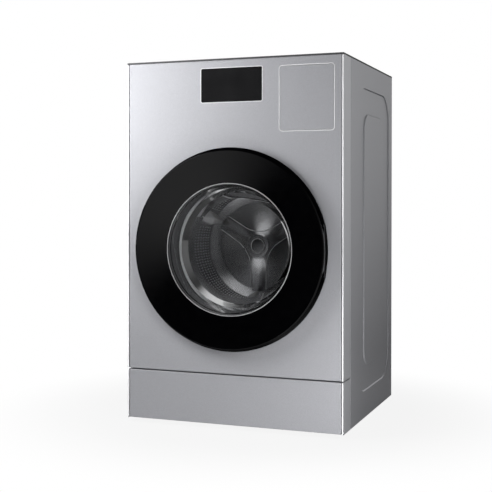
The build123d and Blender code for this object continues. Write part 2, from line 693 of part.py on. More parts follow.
def front_panel():
    """Upper face: door mouth with its collar, and cut-outs for display, drawer, hinge and latch."""
    panel = face_tray(SPLIT_Z + SPLIT_GAP / 2, PANEL_TOP)
    panel -= about_drum(rod(0, 0, MOUTH_RADIUS, 0, FACE_SHEET))
    panel += ring(MOUTH_RADIUS, MOUTH_RADIUS + FACE_SHEET, 0, MOUTH_COLLAR)
    glass = RectangleRounded(DISPLAY_WIDTH + 2 * FIT, DISPLAY_HEIGHT + 2 * FIT, DISPLAY_RADIUS + FIT)
    panel -= plate(Pos(0, DISPLAY_Z) * glass, 0, FACE_SHEET)
    drawer = RectangleRounded(2 * HOUSING_HALF_X, 2 * HOUSING_HALF_Z, DRAWER_RADIUS + DRAWER_GAP)
    panel -= plate(Pos(DRAWER_X, DRAWER_Z) * drawer, 0, FACE_SHEET)
    for side in (-1, 1):
        slot = Rectangle(LUG_WIDTH + 2 * FIT, LUG_HEIGHT + 2 * FIT)
        panel -= plate(Pos(HINGE_X, AXIS_Z + side * LUG_OFFSET) * slot, 0, FACE_SHEET)
    slot = Rectangle(LATCH_WIDTH + LATCH_HOOK + 2 * LOCK_ROOM, LATCH_HEIGHT + 2 * LOCK_ROOM)
    panel -= plate(Pos(LATCH_X, AXIS_Z) * slot, 0, FACE_SHEET)
    return panel


def corner_trim(low, high):
    """Right corner strip beside the face, with a leg behind the face's return and a tab at the rear."""
    near = FACE_RETURN + PANEL_GAP
    trim = block((HALF - TRIM_THICKNESS, HALF), (TRIM_SETBACK, TRIM_DEPTH), (low, high))
    trim = fillet(trim.edges().filter_by(Axis.Z).sort_by(Axis.Y)[:2], TRIM_EDGE_RADIUS)
    trim += block((FACE_HALF - TRIM_LEG, HALF - TRIM_THICKNESS / 2), (near, near + TRIM_THICKNESS),
                  (low, high))
    tab = (HALF - FLANGE, HALF - FLANGE + TRIM_TAB)
    trim += block((tab[0], HALF - TRIM_THICKNESS / 2), (TRIM_DEPTH - TRIM_THICKNESS, TRIM_DEPTH),
                  (low, high))
    return trim + block(tab, (TRIM_DEPTH - TRIM_THICKNESS, SIDE_FRONT), (low, high))


def corner_trims():
    """Upper and lower corner strips, left and right."""
    upper = corner_trim(SPLIT_Z + SPLIT_GAP / 2, PANEL_TOP)
    lower = corner_trim(FOOT_HEIGHT, SPLIT_Z - SPLIT_GAP / 2)
    return Compound([*both_sides(upper).solids(), *both_sides(lower).solids()])


def cross_rails():
    """Two channels across the cabinet behind the front, open to the rear."""
    near = FACE_RETURN + PANEL_GAP + TRIM_THICKNESS + FIT
    half = HALF - FLANGE + TRIM_TAB / 2
    lower = SPLIT_Z - RAIL_HEIGHT
    rails = []
    for low in (lower, PANEL_TOP - RAIL_HEIGHT):
        rail = block((-half, half), (near, SIDE_FRONT), (low, low + RAIL_HEIGHT))
        end = HALF - FLANGE - TRIM_TAB
        rail -= block((-end, end), (near + RAIL_WALL, SIDE_FRONT),
                      (low + RAIL_WALL, low + RAIL_HEIGHT - RAIL_WALL))
        tab = (HALF - FLANGE - FIT, half)
        rail -= both_sides(block(tab, (TRIM_DEPTH - TRIM_THICKNESS - FIT, SIDE_FRONT),
                                 (low, low + RAIL_HEIGHT)))
        rails.append(rail.solid())
    return Compound(rails)


def lower_front_panel():
    """Drop-down panel over the drain filter, with pivot pins on ribs at its lower corners."""
    low = FOOT_HEIGHT + SPLIT_GAP / 2
    panel = face_tray(low, SPLIT_Z - SPLIT_GAP / 2)
    room = LOWER_EAR_ROOM
    ear_end = LOWER_EAR_X + LOWER_EAR_THICKNESS
    panel -= both_sides(block((LOWER_EAR_X - room, ear_end + room), (FACE_SHEET, FACE_RETURN),
                              (low, low + FACE_EDGE_RADIUS + FACE_SHEET)))
    corner = block((FACE_HALF - TRIM_LEG - room, FACE_HALF), (LOWER_PIVOT_DEPTH, FACE_RETURN),
                   (low, LOWER_PIVOT_Z))
    swing = Pos(LOWER_PIVOT_DEPTH, LOWER_PIVOT_Z) * Circle(FACE_RETURN - LOWER_PIVOT_DEPTH)
    panel -= both_sides(corner - extrude(Plane.YZ * swing, HALF))
    rib = Pos(LOWER_PIVOT_DEPTH, LOWER_PIVOT_Z) * Circle(LOWER_EAR_RADIUS)
    rib += Pos(LOWER_PIVOT_DEPTH / 2, LOWER_PIVOT_Z) * Rectangle(LOWER_PIVOT_DEPTH, 2 * LOWER_EAR_RADIUS)
    rib_x = LOWER_EAR_X - room - LOWER_RIB_THICKNESS
    behind_face = block((0, HALF), (FACE_SHEET, FACE_RETURN), (low, SPLIT_Z))
    rib = extrude(Plane.YZ.offset(rib_x) * rib, LOWER_RIB_THICKNESS) & behind_face
    pin = Pos(LOWER_PIVOT_DEPTH, LOWER_PIVOT_Z) * Circle(LOWER_PIN_RADIUS)
    pin = extrude(Plane.YZ.offset(rib_x) * pin, ear_end + room - rib_x)
    return panel + both_sides(rib) + both_sides(pin)


# Display and detergent drawer

def display_glass():
    """Flush dark glass of the display."""
    outline = RectangleRounded(DISPLAY_WIDTH, DISPLAY_HEIGHT, DISPLAY_RADIUS)
    return plate(Pos(0, DISPLAY_Z) * outline, -DISPLAY_PROUD, DISPLAY_GLASS - DISPLAY_PROUD)


def display_housing():
    """Moulded box behind the display glass, with a rim against the back of the face."""
    near = DISPLAY_GLASS - DISPLAY_PROUD
    centre = Pos(0, DISPLAY_Z)
    rim = centre * Rectangle(DISPLAY_WIDTH + 2 * DISPLAY_BOX_RIM, DISPLAY_HEIGHT + 2 * DISPLAY_BOX_RIM)
    opening = centre * RectangleRounded(DISPLAY_WIDTH + 2 * FIT, DISPLAY_HEIGHT + 2 * FIT,
                                        DISPLAY_RADIUS + FIT)
    body = centre * Rectangle(DISPLAY_WIDTH, DISPLAY_HEIGHT)
    hollow = centre * Rectangle(DISPLAY_WIDTH - 2 * DISPLAY_BOX_WALL,
                                DISPLAY_HEIGHT - 2 * DISPLAY_BOX_WALL)
    far = near + DISPLAY_BOX_DEPTH
    housing = plate(rim, FACE_SHEET, near + DISPLAY_BOX_WALL) - plate(opening, FACE_SHEET, near)
    housing += plate(body, near, far)
    return housing - plate(hollow, near, far - DISPLAY_BOX_WALL)


def tray_limits():
    """Outer x, depth and height spans of the drawer's tray."""
    half = DRAWER_WIDTH / 2 - TRAY_SIDE_ROOM
    low = DRAWER_Z - DRAWER_HEIGHT / 2 + TRAY_CLEAR
    return ((DRAWER_X - half, DRAWER_X + half),
            (DRAWER_FRONT_DEPTH, DRAWER_FRONT_DEPTH + TRAY_LENGTH),
            (low, DRAWER_Z + DRAWER_HEIGHT / 2 - TRAY_DROP))


def runner_height():
    """Height of the underside of the tray's runner ribs."""
    _, _, (low, high) = tray_limits()
    return (low + high) / 2


def drawer_front():
    """Flush front of the drawer: a shallow tray open to the rear."""
    centre = Pos(DRAWER_X, DRAWER_Z)
    wall = 2 * DRAWER_FRONT_WALL
    outside = centre * RectangleRounded(DRAWER_WIDTH, DRAWER_HEIGHT, DRAWER_RADIUS)
    inside = centre * RectangleRounded(DRAWER_WIDTH - wall, DRAWER_HEIGHT - wall,
                                       DRAWER_RADIUS - DRAWER_FRONT_WALL)
    return plate(outside, 0, DRAWER_FRONT_DEPTH) - plate(inside, DRAWER_FRONT_WALL, DRAWER_FRONT_DEPTH)


def drawer_tray():
    """Tray with two compartments and a runner rib on each side."""
    x_span, y_span, z_span = tray_limits()
    tray = block(x_span, y_span, z_span)
    middle = DRAWER_X
    inner_y = (y_span[0] + TRAY_WALL, y_span[1] - TRAY_WALL)
    inner_z = (z_span[0] + TRAY_WALL, z_span[1])
    for ends in ((x_span[0] + TRAY_WALL, middle - TRAY_WALL / 2),
                 (middle + TRAY_WALL / 2, x_span[1] - TRAY_WALL)):
        tray -= block(ends, inner_y, inner_z)
    low = runner_height()
    for x in x_span:
        ends = (x - RUNNER_REACH, x) if x < middle else (x, x + RUNNER_REACH)
        tray += block(ends, y_span, (low, low + RUNNER_HEIGHT))
    return tray


def dispenser_housing():
    """Open-fronted box round the drawer, with ledges under its runners and an outlet spigot below."""
    near = FACE_SHEET
    outer_x = HOUSING_HALF_X + HOUSING_WALL
    outer_z = HOUSING_HALF_Z + HOUSING_WALL
    centre = (DRAWER_X, DRAWER_Z)
    far = HOUSING_REAR
    housing = plate(Pos(*centre) * Rectangle(2 * outer_x, 2 * outer_z), near, far)
    rim = Rectangle(2 * outer_x + 2 * HOUSING_RIM, 2 * outer_z + 2 * HOUSING_RIM)
    housing += plate(Pos(*centre) * rim, near, near + HOUSING_WALL)
    hollow = Pos(*centre) * RectangleRounded(2 * HOUSING_HALF_X, 2 * HOUSING_HALF_Z,
                                             DRAWER_RADIUS + DRAWER_GAP)
    housing -= plate(hollow, near, far - HOUSING_WALL)
    x_span, _, _ = tray_limits()
    top = runner_height() - FIT
    inner = (DRAWER_X - HOUSING_HALF_X, DRAWER_X + HOUSING_HALF_X)
    ledges = ((inner[0], x_span[0] - FIT), (x_span[1] + FIT, inner[1]))
    for ends in ledges:
        housing += block(ends, (DRAWER_FRONT_DEPTH + FIT, far - HOUSING_WALL), (top - LEDGE_HEIGHT, top))
    floor = DRAWER_Z - outer_z
    spigot = (OUTLET_X, OUTLET_DEPTH)
    housing += post(*spigot, FILL_RADIUS, floor - OUTLET_LENGTH, floor)
    housing -= post(*spigot, FILL_RADIUS - HOUSING_WALL, floor - OUTLET_LENGTH, floor + HOUSING_WALL)
    housing += rod(HOSE_X, INLET_Z, INLET_HOSE_RADIUS - HOSE_WALL - FIT, far,
                   far + 2 * INLET_HOSE_RADIUS)
    return housing


def dispenser_hose():
    """Hose from the dispenser's outlet straight down to the tub's fill spigot."""
    high = DRAWER_Z - HOUSING_HALF_Z - HOUSING_WALL - FIT
    return upright_hose(OUTLET_X, OUTLET_DEPTH, FILL_RADIUS + FIT, FILL_TOP - 2 * HOSE_LAP, high)


# Door

def lug_pockets():
    """Room behind the door's left edge for the hinge lugs as the door swings."""
    wide = (HINGE_X - LUG_RADIUS - LUG_SIDE_ROOM, HINGE_X + LUG_RADIUS + LUG_ROOM)
    tall = LUG_HEIGHT / 2 + LUG_ROOM
    return [block(wide, (HINGE_DEPTH - LUG_RADIUS - LUG_FRONT_ROOM, 0),
                  (AXIS_Z + side * LUG_OFFSET - tall, AXIS_Z + side * LUG_OFFSET + tall))
            for side in (-1, 1)]


def door_rim():
    """Stepped moulded rim with a ledge behind the face ring, the hinge barrel and the finger scoop."""
    rear = -DOOR_REAR_GAP
    bands = [-depth for depth in RIM_BAND_DEPTHS]
    middle = RIM_RADIUS - RIM_STEP
    front = RIM_RADIUS - 2 * RIM_STEP
    seat = FACE_RADIUS + PANEL_GAP
    lip = -DOOR_PROUD + RIM_LIP
    ledge = [(radius, face_depth(radius) + FACE_THICKNESS) for radius in (seat, RIM_LEDGE_RADIUS)]
    back = [(radius, face_depth(radius) + FACE_THICKNESS + RIM_LEDGE) for radius in (RIM_LEDGE_RADIUS,
                                                                                     RIM_BORE)]
    rim = turned([(RIM_RADIUS - RIM_CHAMFER, rear), (RIM_RADIUS, rear - RIM_CHAMFER),
                  (RIM_RADIUS, bands[0]), (middle, bands[0]), (middle, bands[1]), (front, bands[1]),
                  (front, lip), (seat, lip), *ledge, *back, (RIM_BORE, rear)])
    scoop_floor = RIM_RADIUS - GRIP_DEPTH
    scoop_half = math.sqrt(RIM_RADIUS ** 2 - scoop_floor ** 2)
    arc = 2 * math.degrees(math.asin(scoop_half / RIM_RADIUS)) + 2 * GRIP_END_ANGLE
    inner = scoop_floor - GRIP_WALL
    wall_front = face_depth(inner) + FACE_THICKNESS
    wall_rear = rear - INNER_FRAME_PLATE - FIT
    outer_front = face_depth(RIM_BORE + FIT) + FACE_THICKNESS
    rim += turned([(inner, wall_front), (RIM_BORE + FIT, outer_front), (RIM_BORE + FIT, wall_rear),
                   (inner, wall_rear)], arc, -arc / 2)
    scoop_x = scoop_floor + GRIP_RADIUS
    rim -= post(scoop_x, GRIP_CENTRE_DEPTH, GRIP_RADIUS, AXIS_Z - scoop_half, AXIS_Z + scoop_half)
    barrel_side = abs(HINGE_X) - HINGE_BARREL_RADIUS
    barrel = post(HINGE_X, HINGE_DEPTH, HINGE_BARREL_RADIUS, AXIS_Z - HINGE_PIN_HALF,
                  AXIS_Z + HINGE_PIN_HALF)
    barrel += block((HINGE_X - HINGE_BARREL_RADIUS, HINGE_X + HINGE_BARREL_RADIUS),
                    (face_depth(barrel_side) + FACE_THICKNESS + FIT, HINGE_DEPTH),
                    (AXIS_Z - HINGE_PIN_HALF, AXIS_Z + HINGE_PIN_HALF))
    rim += barrel
    for pocket in lug_pockets():
        rim -= pocket
    return rim - post(HINGE_X, HINGE_DEPTH, HINGE_PIN_RADIUS, AXIS_Z - HINGE_PIN_HALF,
                      AXIS_Z + HINGE_PIN_HALF)


def door_face_ring():
    """Sloping black glass ring round the window."""
    edge = FACE_CHAMFER
    window_rear = face_depth(WINDOW_RADIUS) + FACE_THICKNESS
    return turned([(FACE_RADIUS, face_depth(FACE_RADIUS) + edge),
                   (FACE_RADIUS - edge, face_depth(FACE_RADIUS)),
                   (WINDOW_RADIUS + edge, face_depth(WINDOW_RADIUS)),
                   (WINDOW_RADIUS, face_depth(WINDOW_RADIUS) + edge),
                   (WINDOW_RADIUS, window_rear), (FACE_RADIUS, face_depth(FACE_RADIUS) + FACE_THICKNESS)])


def bowl_flange(radius, behind):
    """Point on the bowl's flange, a given distance behind the face ring's back."""
    return (radius, face_depth(radius) + FACE_THICKNESS + behind)


def door_bowl():
    """Glass bowl: a clamped flange, a tapering wall into the gasket and a bottom dished towards the room."""
    flange = WINDOW_RADIUS + BOWL_FLANGE
    glass = BOWL_GLASS
    neck_depth = face_depth(BOWL_NECK_RADIUS) + FACE_THICKNESS + 2 * glass
    outside = [bowl_flange(flange, glass), bowl_flange(BOWL_NECK_RADIUS + glass, glass),
               (BOWL_NECK_RADIUS, neck_depth), (BOWL_LIP_RADIUS, GASKET_LIP_DEPTH),
               (BOWL_TAIL_RADIUS, BOWL_TAIL_DEPTH), (BOWL_BOTTOM_RADIUS, BOWL_BOTTOM_DEPTH),
               (0, BOWL_BOTTOM_DEPTH)]
    floor = BOWL_BOTTOM_DEPTH - glass
    rim = BOWL_LIP_RADIUS - 2 * glass
    dish = [(radius, floor - BOWL_DISH_RADIUS + math.sqrt(BOWL_DISH_RADIUS ** 2 - radius ** 2))
            for radius in (0, rim / 2, rim)]
    inside = [dish[-1], (BOWL_LIP_RADIUS - glass, GASKET_LIP_DEPTH),
              (BOWL_NECK_RADIUS - glass, neck_depth - glass / 2), bowl_flange(WINDOW_RADIUS, 0)]
    wall = Polyline(*inside, bowl_flange(flange, 0), *outside, dish[0])
    return spun(make_face([wall, ThreePointArc(*dish)]))


def door_inner_frame():
    """Ring on the back of the door: a rear plate and a wall that clamps the bowl's flange."""
    inner = INNER_FRAME_BORE
    outer = inner + INNER_FRAME_WIDTH
    rear = -DOOR_REAR_GAP
    plate_front = rear - INNER_FRAME_PLATE
    rim = RIM_BORE - FIT
    frame = turned([(rim, rear), (rim, plate_front), (outer, plate_front), bowl_flange(outer, BOWL_GLASS),
                    bowl_flange(inner, BOWL_GLASS), (inner, rear)])
    for pocket in lug_pockets():
        frame -= pocket
    return frame


def door_hinge_pin():
    """Pin through the rim's barrel and the bracket's lugs."""
    return post(HINGE_X, HINGE_DEPTH, HINGE_PIN_RADIUS, AXIS_Z - HINGE_PIN_HALF, AXIS_Z + HINGE_PIN_HALF)


def hinge_bracket():
    """Plate behind the face with two lugs that pass through it to the door's pin."""
    far = FACE_SHEET + HINGE_PLATE
    outline = RectangleRounded(HINGE_PLATE_WIDTH, 2 * HINGE_PLATE_HALF, LUG_RADIUS)
    bracket = plate(Pos(HINGE_X + HINGE_PLATE_OFFSET, AXIS_Z) * outline, FACE_SHEET, far)
    lug = Pos(HINGE_X, HINGE_DEPTH) * Circle(LUG_RADIUS)
    reach = far - HINGE_DEPTH
    lug += Pos(HINGE_X, HINGE_DEPTH + reach / 2) * Rectangle(LUG_WIDTH, reach)
    lug -= Pos(HINGE_X, HINGE_DEPTH) * Circle(HINGE_PIN_RADIUS + RUNNING)
    lug = extrude(lug, LUG_HEIGHT)
    for side in (-1, 1):
        bracket += Pos(0, 0, AXIS_Z + side * LUG_OFFSET - LUG_HEIGHT / 2) * lug
    return bracket


def door_latch_hook():
    """Hook on the door's inner frame that reaches through the face into the lock."""
    low = -LATCH_WIDTH / 2
    rear = -DOOR_REAR_GAP
    outline = Polyline((low - LATCH_HOOK, rear), (low - LATCH_HOOK, rear + LATCH_BASE),
                       (low, rear + LATCH_BASE),
                       (low, LATCH_REACH), (-low, LATCH_REACH),
                       (-low + LATCH_HOOK, LATCH_REACH - LATCH_HOOK),
                       (-low, LATCH_REACH - 2 * LATCH_HOOK), (-low, rear + LATCH_BASE),
                       (-low + LATCH_HOOK, rear + LATCH_BASE), (-low + LATCH_HOOK, rear), close=True)
    hook = extrude(make_face(outline), LATCH_HEIGHT)
    return Pos(LATCH_X, 0, AXIS_Z - LATCH_HEIGHT / 2) * hook


def door_lock():
    """Lock case behind the face, with a mouth for the latch hook."""
    half = LATCH_WIDTH / 2 + LATCH_HOOK / 2 + LOCK_ROOM
    tall = LATCH_HEIGHT / 2 + LOCK_ROOM
    far = FACE_SHEET + LOCK_DEPTH
    case = plate(Pos(LATCH_X, AXIS_Z) * RectangleRounded(2 * half + 2 * LOCK_WALL, 2 * LOCK_HALF_HEIGHT,
                                                         LOCK_WALL / 2),
                 FACE_SHEET, far)
    mouth = plate(Pos(LATCH_X, AXIS_Z) * Rectangle(2 * half, 2 * tall), FACE_SHEET, far - LOCK_WALL)
    return case - mouth


# Gasket between the face's collar and the tub's mouth

def gasket_rear():
    """Depths of the gasket's rear bead on the tub's mouth."""
    far = TUB_FRONT_DEPTH - FIT
    return far - CLAMP_BAND_WIDTH - GASKET_WALL, far


def door_gasket():
    """Rubber bellows: a grooved front bead, a sealing lip, one convolution and a rear bead."""
    wall = GASKET_WALL
    collar = MOUTH_RADIUS + FACE_SHEET
    bead = collar + FIT + 2 * wall + FIT
    near, far = gasket_rear()
    tube = TUB_MOUTH_RADIUS + FIT
    crest = MOUTH_RADIUS + GASKET_CREST
    valley = MOUTH_RADIUS + GASKET_VALLEY
    skirt = MOUTH_RADIUS - GASKET_SKIRT
    lip = BOWL_LIP_RADIUS + GASKET_LIP_CLEAR
    return turned([(collar + FIT, wall), (bead, wall), (bead, MOUTH_COLLAR),
                   (collar + wall, MOUTH_COLLAR + wall),
                   (crest, GASKET_CREST_DEPTH), (valley, GASKET_VALLEY_DEPTH), (tube + wall, near),
                   (tube + wall, far), (tube, far), (tube, near), (valley - wall, GASKET_VALLEY_DEPTH),
                   (crest - wall, GASKET_CREST_DEPTH), (collar, MOUTH_COLLAR + 2 * wall),
                   (lip, GASKET_LIP_DEPTH + wall / 2),
                   (lip, GASKET_LIP_DEPTH),
                   (skirt, MOUTH_COLLAR + FIT), (skirt, wall),
                   (MOUTH_RADIUS - FIT, wall), (MOUTH_RADIUS - FIT, MOUTH_COLLAR + FIT),
                   (collar + FIT, MOUTH_COLLAR + FIT)])


def gasket_front_clamp():
    """Wire ring round the gasket's front bead."""
    bead = MOUTH_RADIUS + FACE_SHEET + 2 * FIT + 2 * GASKET_WALL
    middle = (GASKET_WALL + MOUTH_COLLAR) / 2
    return ring(bead, bead + CLAMP_WIRE, middle - CLAMP_WIRE / 2, middle + CLAMP_WIRE / 2)


def gasket_rear_clamp():
    """Steel band round the gasket's rear bead."""
    near, far = gasket_rear()
    bead = TUB_MOUTH_RADIUS + FIT + GASKET_WALL
    middle = (near + far) / 2
    return ring(bead, bead + CLAMP_BAND, middle - CLAMP_BAND_WIDTH / 2, middle + CLAMP_BAND_WIDTH / 2)


# Tub

def tub_front():
    """Front half of the tub with its mouth, joint flange, sump spigot, fill spigot and heater port."""
    near = TUB_FRONT_DEPTH
    inner = TUB_RADIUS - TUB_WALL
    mouth = TUB_MOUTH_RADIUS - TUB_MOUTH_WALL
    tip = near - TUB_MOUTH_LENGTH
    joint = TUB_JOINT_DEPTH
    tub = turned([(mouth, tip), (TUB_MOUTH_RADIUS, tip), (TUB_MOUTH_RADIUS, near),
                  (TUB_RADIUS - TUB_WALL, near),
                  (TUB_RADIUS, near + TUB_WALL), (TUB_RADIUS, joint - TUB_FLANGE),
                  (TUB_FLANGE_RADIUS, joint - TUB_FLANGE),
                  (TUB_FLANGE_RADIUS, joint), (inner, joint), (inner, near + TUB_WALL),
                  (mouth, near + TUB_WALL)])
    cavity = about_drum(rod(0, 0, inner, near + TUB_WALL, joint))
    sump_top = AXIS_Z - math.sqrt(inner ** 2 - PUMP_X ** 2) + 2 * SUMP_RADIUS
    tub += post(PUMP_X, PUMP_INLET_DEPTH, SUMP_RADIUS, SUMP_BOTTOM, sump_top) - cavity
    tub -= post(PUMP_X, PUMP_INLET_DEPTH, SUMP_RADIUS - SUMP_WALL, SUMP_BOTTOM, sump_top)
    fill_low = AXIS_Z + math.sqrt(inner ** 2 - OUTLET_X ** 2) - 2 * FILL_RADIUS
    tub += post(OUTLET_X, OUTLET_DEPTH, FILL_RADIUS, fill_low, FILL_TOP) - cavity
    tub -= post(OUTLET_X, OUTLET_DEPTH, FILL_RADIUS - HOUSING_WALL, fill_low, FILL_TOP)
    port = SlotOverall(HEATER_BLOCK_WIDTH + 2 * FIT, HEATER_BLOCK_HEIGHT + 2 * FIT)
    tub -= plate(Pos(0, HEATER_Z) * port, near, near + TUB_WALL)
    return tub


def tub_rear():
    """Rear half of the tub: ribbed wall, bearing hub, stator posts and the suspension lugs."""
    joint = TUB_JOINT_DEPTH
    rear = TUB_REAR_DEPTH
    inner = TUB_RADIUS - TUB_WALL
    tub = turned([(TUB_FLANGE_RADIUS, joint), (TUB_FLANGE_RADIUS, joint + TUB_FLANGE),
                  (TUB_RADIUS, joint + TUB_FLANGE),
                  (TUB_RADIUS, rear - TUB_WALL), (TUB_RADIUS - TUB_WALL, rear), (HUB_RADIUS, rear),
                  (HUB_RADIUS, HUB_REAR_DEPTH), (REAR_BEARING_RADIUS, HUB_REAR_DEPTH),
                  (REAR_BEARING_RADIUS, REAR_BEARING_FRONT),
                  (HUB_WAIST_RADIUS, REAR_BEARING_FRONT), (HUB_WAIST_RADIUS, FRONT_BEARING_REAR),
                  (FRONT_BEARING_RADIUS, FRONT_BEARING_REAR),
                  (FRONT_BEARING_RADIUS, SEAL_REAR), (SEAL_RADIUS, SEAL_REAR),
                  (SEAL_RADIUS, rear - TUB_WALL),
                  (inner, rear - TUB_WALL), (inner, joint)])
    for n in range(TUB_RIB_COUNT):
        rib = block((HUB_RADIUS - TUB_RIB, TUB_RADIUS - 2 * TUB_WALL), (rear, rear + TUB_RIB_HEIGHT),
                    (-TUB_RIB / 2, TUB_RIB / 2))
        tub += about_drum(rib, 360.0 / TUB_RIB_COUNT * (n + 0.5))
    for n in range(STATOR_POST_COUNT):
        stand = Pos((STATOR_BORE + STATOR_YOKE_RADIUS) / 2, 0, 0) * rod(0, 0, STATOR_POST_RADIUS, rear,
                                                                        STATOR_DEPTH)
        tub += about_drum(stand, 360.0 / STATOR_POST_COUNT * n)
    x, y, z = SPRING_X, SPRING_DEPTH, SPRING_Z
    lug = block((x - SPRING_LUG / 2, x + SPRING_LUG / 2), (joint, joint + SPRING_LUG),
                (z - TUB_FLANGE, z))
    return tub + both_sides(lug - post(x, y, SPRING_STEM_RADIUS + FIT, z - TUB_FLANGE, z))


def counterweights():
    """Upper and lower cast crescents on the tub's front wall, the lower one open round the heater."""
    inner = AXIS_Z - HEATER_Z - (HEATER_BLOCK_HEIGHT + WEIGHT_ROOM) / 2 - WEIGHT_LAND
    outer = TUB_RADIUS + WEIGHT_OVERHANG
    far = TUB_FRONT_DEPTH
    near = far - WEIGHT_THICKNESS
    outline = [(inner, near), (outer, near), (outer, far), (inner, far)]
    upper = turned(outline, WEIGHT_ARC, WEIGHT_MIDDLES[0] - WEIGHT_ARC / 2)
    room = SlotOverall(HEATER_BLOCK_WIDTH + WEIGHT_ROOM, HEATER_BLOCK_HEIGHT + WEIGHT_ROOM)
    lower = turned(outline, WEIGHT_ARC, WEIGHT_MIDDLES[1] - WEIGHT_ARC / 2)
    lower -= plate(Pos(0, HEATER_Z) * room, near, far)
    return Compound([upper.solid(), lower.solid()])


def heater():
    """Immersion heater: a hairpin tube in the sump, its port block and two terminals."""
    z = HEATER_Z
    near = TUB_FRONT_DEPTH - TUB_WALL
    start = near + HEATER_BLOCK_DEPTH
    end = TUB_FRONT_DEPTH + HEATER_LENGTH
    bend = end - HEATER_HALF_SPAN
    path = Line((-HEATER_HALF_SPAN, start, z), (-HEATER_HALF_SPAN, bend, z))
    path += ThreePointArc((-HEATER_HALF_SPAN, bend, z), (0, end, z),
                          (HEATER_HALF_SPAN, bend, z))
    path += Line((HEATER_HALF_SPAN, bend, z), (HEATER_HALF_SPAN, start, z))
    section = Plane((-HEATER_HALF_SPAN, start, z), z_dir=(0, 1, 0)) * Circle(HEATER_TUBE_RADIUS)
    element = sweep(section, path=path)
    element += plate(Pos(0, z) * SlotOverall(HEATER_BLOCK_WIDTH, HEATER_BLOCK_HEIGHT), near, start)
    for x in (-HEATER_HALF_SPAN, HEATER_HALF_SPAN):
        element += rod(x, z, HEATER_TUBE_RADIUS, near - HEATER_PIN, near)
    return element


# Drum

def drum_shell():
    """Rolled sheet of the drum."""
    return ring(DRUM_BORE, DRUM_RADIUS, DRUM_FRONT_DEPTH, DRUM_REAR_DEPTH)


def drum_front():
    """Front ring of the drum: a rolled lip, a sloping plate and a flange inside the shell."""
    sheet = DRUM_SHEET
    bore = DRUM_BORE
    lip_rear = DRUM_LIP_DEPTH + DRUM_LIP_TURN
    return turned([(bore, DRUM_FRONT_DEPTH), (bore, DRUM_FRONT_DEPTH + DRUM_FLANGE),
                   (bore - sheet, DRUM_FRONT_DEPTH + DRUM_FLANGE),
                   (bore - sheet, DRUM_FRONT_DEPTH + sheet),
                   (DRUM_LIP_RADIUS + DRUM_FLANGE, DRUM_LIP_DEPTH + sheet),
                   (DRUM_LIP_RADIUS + sheet, lip_rear - sheet),
                   (DRUM_LIP_RADIUS + sheet, lip_rear), (DRUM_LIP_RADIUS, lip_rear),
                   (DRUM_LIP_RADIUS, lip_rear - 2 * sheet),
                   (DRUM_LIP_RADIUS + DRUM_FLANGE - sheet, DRUM_LIP_DEPTH)])


def drum_form(inset):
    """Solid behind the drum back's face: a dished floor, and the hub with its arms narrowed by the inset."""
    bore = DRUM_BORE
    petal = Edge.make_line(PETAL_ROOT, PETAL_RIM)
    dish = petal @ 0.5 + Vector(0, PETAL_DISH)
    floor = Polyline(PETAL_RIM, (bore - DRUM_SHEET, CORNER_DEPTH), (bore, CORNER_DEPTH),
                     (bore, DRUM_REAR_DEPTH), (0, DRUM_REAR_DEPTH), (0, PETAL_ROOT[1]), PETAL_ROOT)
    floor = spun(make_face([floor, ThreePointArc(PETAL_ROOT, dish, PETAL_RIM)]))
    groove = HUB_FACE_RADIUS - HUB_GROOVE_DEPTH
    seat = groove - HUB_GROOVE_WIDTH
    star = turned([(0, HUB_FACE_DEPTH), (seat, HUB_FACE_DEPTH),
                   (seat + HUB_GROOVE_DEPTH, HUB_FACE_DEPTH + HUB_GROOVE_DEPTH),
                   (groove - HUB_GROOVE_DEPTH, HUB_FACE_DEPTH + HUB_GROOVE_DEPTH),
                   (groove, HUB_FACE_DEPTH), (HUB_FACE_RADIUS, HUB_FACE_DEPTH),
                   STAR_SHOULDER, STAR_RIM, PETAL_RIM, (0, PETAL_RIM[1])])
    arm = Pos(bore / 2, 0) * Rectangle(bore, ARM_WIDTH - 2 * inset)
    arms = Sketch() + [Rot(0, 0, angle) * arm for angle in ARM_ANGLES]
    roots = arms.vertices().sort_by_distance((0, 0, 0))[:len(ARM_ANGLES)]
    arms = fillet(roots, ARM_ROOT_RADIUS + inset)
    arms = about_drum(plate(arms, HUB_FACE_DEPTH, PETAL_RIM[1])) & star
    top = arms.faces().filter_by(GeomType.CONE).sort_by(SortBy.AREA)[-1]
    edges = [edge for edge in top.outer_wire().edges() if edge.geom_type != GeomType.CIRCLE]
    return floor + fillet(edges, ARM_EDGE - inset)


def drum_back():
    """Pressed back of the drum: a raised hub and three arms standing out of three dished petals."""
    pressing = drum_form(0) - Pos(0, DRUM_SHEET, 0) * drum_form(DRUM_SHEET)
    return pressing + ring(DRUM_BORE - DRUM_SHEET, DRUM_BORE, CORNER_DEPTH, DRUM_REAR_DEPTH)


def lifter(base, top, height, length, edge):
    """Tapered paddle standing inwards from the shell at +X, about the origin."""
    bore = DRUM_BORE
    deep = 2 * LIFTER_WALL + base / 2
    outline = Polyline((bore + deep, -base / 2 - deep / 4), (bore - height, -top / 2),
                       (bore - height, top / 2),
                       (bore + deep, base / 2 + deep / 4), close=True)
    outline = make_face(outline)
    if edge:
        outline = fillet(outline.vertices().sort_by(Axis.X)[:2], edge)
    middle = LIFTER_FRONT + LIFTER_LENGTH / 2
    paddle = extrude(Plane.XZ.offset(-middle) * outline, length / 2, both=True, taper=LIFTER_TAPER)
    return paddle & rod(0, 0, bore, middle - length, middle + length)


